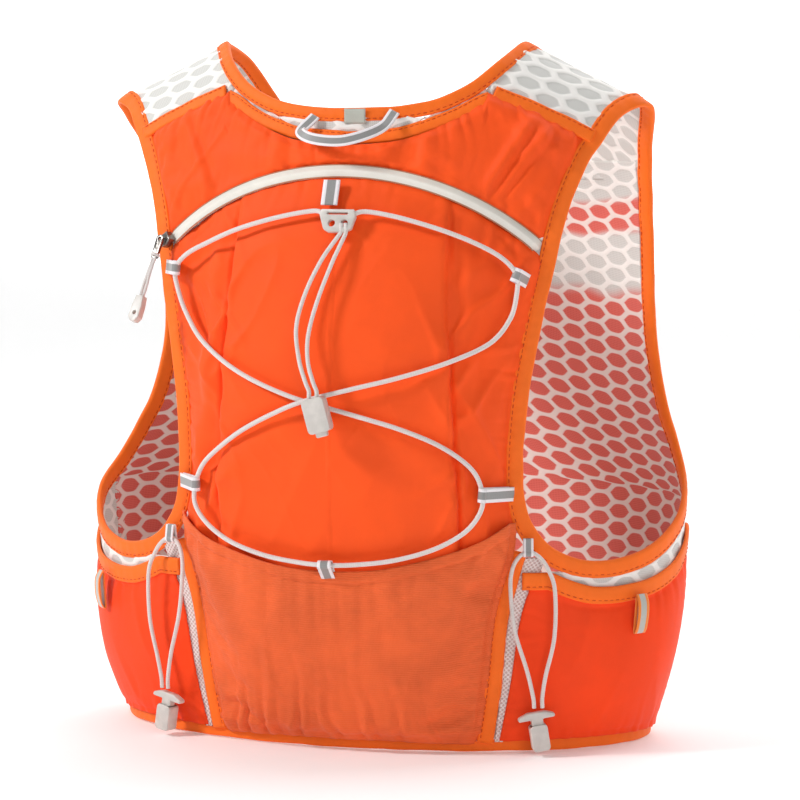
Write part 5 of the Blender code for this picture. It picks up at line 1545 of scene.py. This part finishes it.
for side, sign in SIDES:
    cloth(f"shoulder_cloth_{side}", shoulder_surface(sign), 0.0010, white_mesh, 0.0012,
          honeycomb_relief, [f"shoulder_mesh_{side}"], -0.0008, white_behind,
          under=(0.006, 0.016, 0.008))
    cloth(f"front_cloth_{side}", front_surface(sign), 0.0012, white_mesh, 0.0012,
          lambda c: -0.6 * honeycomb_relief(c), [f"front_panel_{side}"], -0.0006,
          {"behind": chest_mask}, under=(0.005, 0.005, 0.005))
    cloth(f"side_lining_{side}", lining_surface(sign), 0.0014, white_mesh, 0.0012,
          honeycomb_relief, [f"side_panel_{side}"], -0.0012, white_behind,
          under=(0.005, 0.005, 0.005))
    cloth(f"spacer_cloth_{side}", spacer_surface(sign), 0.0010, spacer_mesh, 0.0012,
          lambda c: 0.0003 * rough(c.u, c.v, 0.01, 91), [f"side_spacer_{side}"], 0.0,
          under=(0.0015, 0.005, 0.009))
    front = front_surface(sign)

    def chest_band(u, v, front=front):
        height = (0.289 + 0.021 * v - INSET) / (FRONT_TOP - 5 * CLEARANCE - INSET)
        return front(u, height)
    cloth(f"chest_band_{side}", chest_band, 0.0014, orange_fabric, 0.0007,
          lambda c: 0.0003 * rough(c.u, c.v, 0.012, 95), base=0.0014, under=(0.004, 0.0, 0.0))
    cloth(f"side_pocket_cloth_{side}", side_pocket_surface(sign), 0.0014, side_fabric, 0.0008,
          side_relief, [f"side_pocket_{side}"], under=(0.002, 0.005, 0.008))
    flask = cloth(f"flask_cloth_{side}", flask_surface(sign), 0.0016, side_fabric, 0.0008,
                  flask_relief, [f"flask_pocket_{side}"], under=(0.003, 0.005, 0.0))

# ------------------------------------------------------------------ ribbons and loops


def ribbon_hairpin(name, node, centre, along, toward, hole_radius, reach, width):
    """A ribbon folded round a cord and sewn down where its legs meet."""
    radius = hole_radius + LOOP_WALL / 2
    near = 0.72 * radius
    tail = reach + 0.0015
    outline = [(tail, near * 0.5), *arc((0, 0), radius, 60, 300, 22), (tail, -near * 0.5)]
    along = Vector(along).normalized()
    toward = Vector(toward)
    toward = (toward - along * toward.dot(along)).normalized()
    place = facing(centre, along, along.cross(toward))
    dense = smooth(np.array(outline), 60)
    line = np.array([place @ Vector((x, y, 0)) for x, y in dense])
    settle(strip(name, line, np.array(along), width, 0.0006, ribbon, 9), [node])


bungee_line = smooth(bungee_points(), 900)
for node, x, z, seam, lift in (
        ("cord_loop_upper_left", -UPPER_LOOP[0], UPPER_LOOP[1], (-0.1085, 0.2720), 0.0004),
        ("cord_loop_upper_right", UPPER_LOOP[0], UPPER_LOOP[1], (0.1045, 0.2668), -0.0046),
        ("cord_loop_lower_left", -LOWER_LOOP[0], LOWER_LOOP[1], (-0.0972, 0.1505), 0.0004),
        ("cord_loop_lower_right", LOWER_LOOP[0], LOWER_LOOP[1], (0.0972, 0.1490), -0.0030),
        ("cord_loop_bottom", BOTTOM_LOOP[0], BOTTOM_LOOP[1], (0.0, 0.1045), POCKET_EXTRA)):
    nearest = int(np.argmin((bungee_line[:, 0] - x) ** 2 + (bungee_line[:, 2] - z) ** 2))
    end = on_compartment(seam[0], seam[1], lift)
    toward = end - bungee_line[nearest]
    ribbon_hairpin(node + "_ribbon", node, bungee_line[nearest], np.cross(outward(end), toward), toward,
                   BUNGEE / 2 + 0.0006, float(np.linalg.norm(toward)), 0.0080)

hang_line = [(-0.0215, 0.3600), (-0.0265, 0.3500), (-0.0225, 0.3440), (-0.0120, 0.3405),
             (0.0020, 0.3400), (0.0150, 0.3440), (0.0240, 0.3500), (0.0290, 0.3600)]
hang_feet = np.array([on_back(x, z) for x, z in hang_line])
hang_lifts = np.array([0.0030, 0.0100, 0.0150, 0.0175, 0.0175, 0.0150, 0.0100, 0.0030])
hang_route = smooth(hang_feet + outward(hang_feet) * hang_lifts[:, None], 90)
_, hang_across = tape_directions(hang_route, 1)
hang_route = hang_route + hang_across * 0.0031
settle(strip("hang_loop_ribbon", hang_route, hang_across, 0.0062, 0.0008, ribbon, 9),
       ["hang_loop"])
hook_z = np.linspace(0.3225, 0.3085, 24)
hook_ribbon_line = on_compartment(0 * hook_z - 0.0040, hook_z, 0.0014)
settle(strip("hook_ribbon_woven", hook_ribbon_line, (1, 0, 0), 0.0096, 0.0008, ribbon, 9),
       ["hook_ribbon"])

patch_x = np.linspace(-0.0020, 0.0100, 12)
patch_line = on_back(patch_x, 0.3590 + 0 * patch_x)
patch_line = patch_line + outward(patch_line) * 0.0022
settle(strip("label_patch", patch_line, (0, 0, 1), 0.0085, 0.0005, label_cloth))

for side, sign in SIDES:
    centre = side_point(sign, 0.1036, 0.1166, 0.0064)
    ribbon_hairpin(f"side_cord_ribbon_{side}_woven", f"side_cord_ribbon_{side}", centre,
                   (sign, 0.35, 0.0), (0, 0, 1), SIDE_CORD / 2 + 0.0006, 0.0065, 0.0056)
    tag_line = []
    for z, off in ((0.0905, 0.0), (0.086, 0.0030), (0.079, 0.0042), (0.072, 0.0038), (0.0690, 0.0026),
                   (0.0695, 0.0016), (0.075, 0.0010), (0.082, 0.0006), (0.0890, 0.0)):
        foot = on_form(1.13, z)
        tag_line.append((foot + outward(foot) * (OUTER_BASE + SIDE_FULLNESS + off)) * [sign, 1, 1])
    tag_line = smooth(np.array(tag_line), 60)
    tag_way = np.array(on_form(1.16, 0.08) - on_form(1.10, 0.08)) * [sign, 1, 1]
    settle(strip(f"tag_loop_{side}", tag_line, tag_way, 0.0074, 0.0006, tag_ribbon, 9))

# ------------------------------------------------------------------ cords

bungee_way = bungee_points()
bungee_way = np.vstack([on_compartment(-0.0052, 0.3030, 0.0034), bungee_way,
                        on_compartment(0.0092, 0.3030, 0.0034)])
bungee_route, _ = cord_route(bungee_way)
settle(tube("bungee_cord", bungee_route, BUNGEE / 2, cream_cord), ["bungee"])


def free_cord(node, route):
    """A thin free cord in place of its CAD node."""
    piece = tube(f"{node}_braid", route, SIDE_CORD / 2, cream_cord)
    settle(piece, [node])


def tail_route(points, end_shift):
    top, _ = lock_axis()
    route = [on_compartment(x, z, lift) for x, z, lift in points]
    route.append(top + np.array([end_shift, 0, 0.0040]))
    route.append(top + np.array([end_shift, 0, -0.0010]))
    return cord_route(route)


TAILS = {
    "left": ([(0.0044, 0.2985, 0.0052), (0.0044, 0.2935, 0.0040), (0.0028, 0.2905, 0.0040),
              (-0.0042, 0.2780, 0.0050), (-0.0115, 0.2600, 0.0055), (-0.0150, 0.2420, 0.0070),
              (-0.0125, 0.2250, 0.0090), (-0.0080, 0.2125, 0.0115)], -0.0022),
    "right": ([(0.0068, 0.2985, 0.0052), (0.0070, 0.2935, 0.0040), (0.0062, 0.2905, 0.0040),
               (0.0012, 0.2760, 0.0050), (-0.0050, 0.2560, 0.0055), (-0.0085, 0.2380, 0.0070),
               (-0.0078, 0.2240, 0.0090), (-0.0042, 0.2130, 0.0115)], 0.0022),
}

lock = refined("cord_lock", cream_plastic, 0.0011, name="cord_lock_moulded")
lock_button = refined("cord_lock_button", cream_plastic, 0.0007,
                      "cord_lock_button", "cord_lock_button_moulded")
for side, (points, shift) in TAILS.items():
    route, length = tail_route(points, shift)
    free_cord(f"tail_cord_{side}", route)

for side, sign in SIDES:
    body = refined(f"side_lock_{side}", cream_plastic, 0.0010,
                   name=f"side_lock_{side}_moulded")
    button = refined(f"side_lock_button_{side}", cream_plastic, 0.0009,
                     f"side_lock_button_{side}", f"side_lock_button_{side}_moulded")
    inner = [side_point(sign, *p) for p in SIDE_CORD_ROUTES["right"][::-1]]
    outer = [side_point(sign, *p) for p in SIDE_CORD_ROUTES["right_outer"]]
    route, length = cord_route(inner + outer)
    free_cord(f"side_cord_{side}", route)

# ------------------------------------------------------------------ moulded and metal pieces

for node, made, slot, bevel, body in (
        ("hook", cream_plastic, "cream_plastic", 0.0007, "hook"),
        ("zip_slider", zip_metal, "zip_metal", 0.0007, "zip_slider"),
        ("zip_puller", zip_metal, "zip_metal", 0.0004, "zip_pull"),
        ("pull_tip", cream_plastic, "cream_plastic", 0.0009, "zip_pull"),
        ("reservoir", water_film, "water_film", 0.0005, None),
        ("reservoir_cap", cap_plastic, "cap_plastic", 0.0008, "reservoir_cap"),
        ("sternum_strap_left", webbing, "orange_tape", 0.0003, "chest_strap_left"),
        ("sternum_strap_right", webbing, "orange_tape", 0.0003, "chest_strap_right"),
        ("buckle_male", cream_plastic, "cream_plastic", 0.0007, "chest_strap_right"),
        ("buckle_female", cream_plastic, "cream_plastic", 0.0009, "chest_strap_left")):
    refined(node, made, bevel, body)

top, down, face = pull_frame()
sideways = np.cross(down, face)
start = top + down * 0.0130
for name, shift in (("pull_strand_a", -0.0009), ("pull_strand_b", 0.0009)):
    run = np.linspace(-0.0030, 0.0228, 60)
    bow = 0.0004 * np.sin(math.pi * (run + 0.003) / 0.0258)
    route = start + run[:, None] * down + (shift * (1 - 0.3 * np.sin(run * 260)))[:, None] * sideways \
        + bow[:, None] * face
    piece = tube(name, route, 0.0009, cream_cord, sides=10)
    settle(piece, ["pull_cord"] if name.endswith("a") else [], "zip_pull")
turn = np.linspace(0, 1.86 * math.pi, 40)
knot = start + np.outer(0.0021 * np.cos(turn), sideways) + np.outer(0.0018 * np.sin(turn), face) \
    + np.outer(-0.0030 + 0.0010 * turn / 6, down)
settle(tube("pull_knot", knot, 0.0009, cream_cord, sides=10), body="zip_pull")

# ------------------------------------------------------------------ floor and light

floor_shader = Shader("floor", 0.75, **{"Emission Color": (1, 1, 1, 1), "Emission Strength": 0.14})
grain = floor_shader.noise(floor_shader.place(), 6.0, 2.0)
floor_look = floor_shader.finish(floor_shader.mix(grain, (0.90, 0.90, 0.90, 1), (0.93, 0.93, 0.93, 1)))
FLOOR_Z = -0.0007


def stage_plane(name, corners, look):
    """A flat piece of the studio."""
    mesh = bpy.data.meshes.new(name)
    mesh.from_pydata(corners, [], [(0, 1, 2, 3)])
    mesh.materials.append(look)
    plane = bpy.data.objects.new(name, mesh)
    scene.collection.objects.link(plane)
    return plane


floor = stage_plane("floor", [(-6, -6, 0), (6, -6, 0), (6, 6, 0), (-6, 6, 0)], floor_look)
floor.location = (0, 0, FLOOR_Z)


def area_light(name, place, size, power, colour=(1, 1, 1)):
    lamp = bpy.data.objects.new(name, bpy.data.lights.new(name, "AREA"))
    lamp.data.size = size
    lamp.data.energy = power
    lamp.data.color = colour
    lamp.location = place
    lamp.rotation_euler = (Vector((0, 0, 0.2)) - Vector(place)).to_track_quat("-Z", "Y").to_euler()
    scene.collection.objects.link(lamp)


area_light("key", (-1.8, -1.1, 1.6), 0.40, 41)
area_light("fill", (1.4, -2.0, 0.7), 1.0, 11)
area_light("top", (0.2, 0.5, 2.0), 1.0, 9)
area_light("back", (1.3, 1.1, 1.2), 0.9, 7)
WALL_Y = 3.8
wall_look = bpy.data.materials.new("wall")
wall_look.use_nodes = True
wall_light = wall_look.node_tree.nodes["Principled BSDF"].inputs
wall_light["Emission Color"].default_value = (1, 1, 1, 1)
wall_light["Emission Strength"].default_value = 1.0
stage_plane("wall", [(-15, WALL_Y, -2), (15, WALL_Y, -2), (15, WALL_Y, 11), (-15, WALL_Y, 11)], wall_look)
world = bpy.data.worlds.new("studio")
world.use_nodes = True
world.node_tree.nodes["Background"].inputs["Color"].default_value = (1, 1, 1, 1)
world.node_tree.nodes["Background"].inputs["Strength"].default_value = 0.24
scene.world = world
scene.view_settings.view_transform = "Standard"
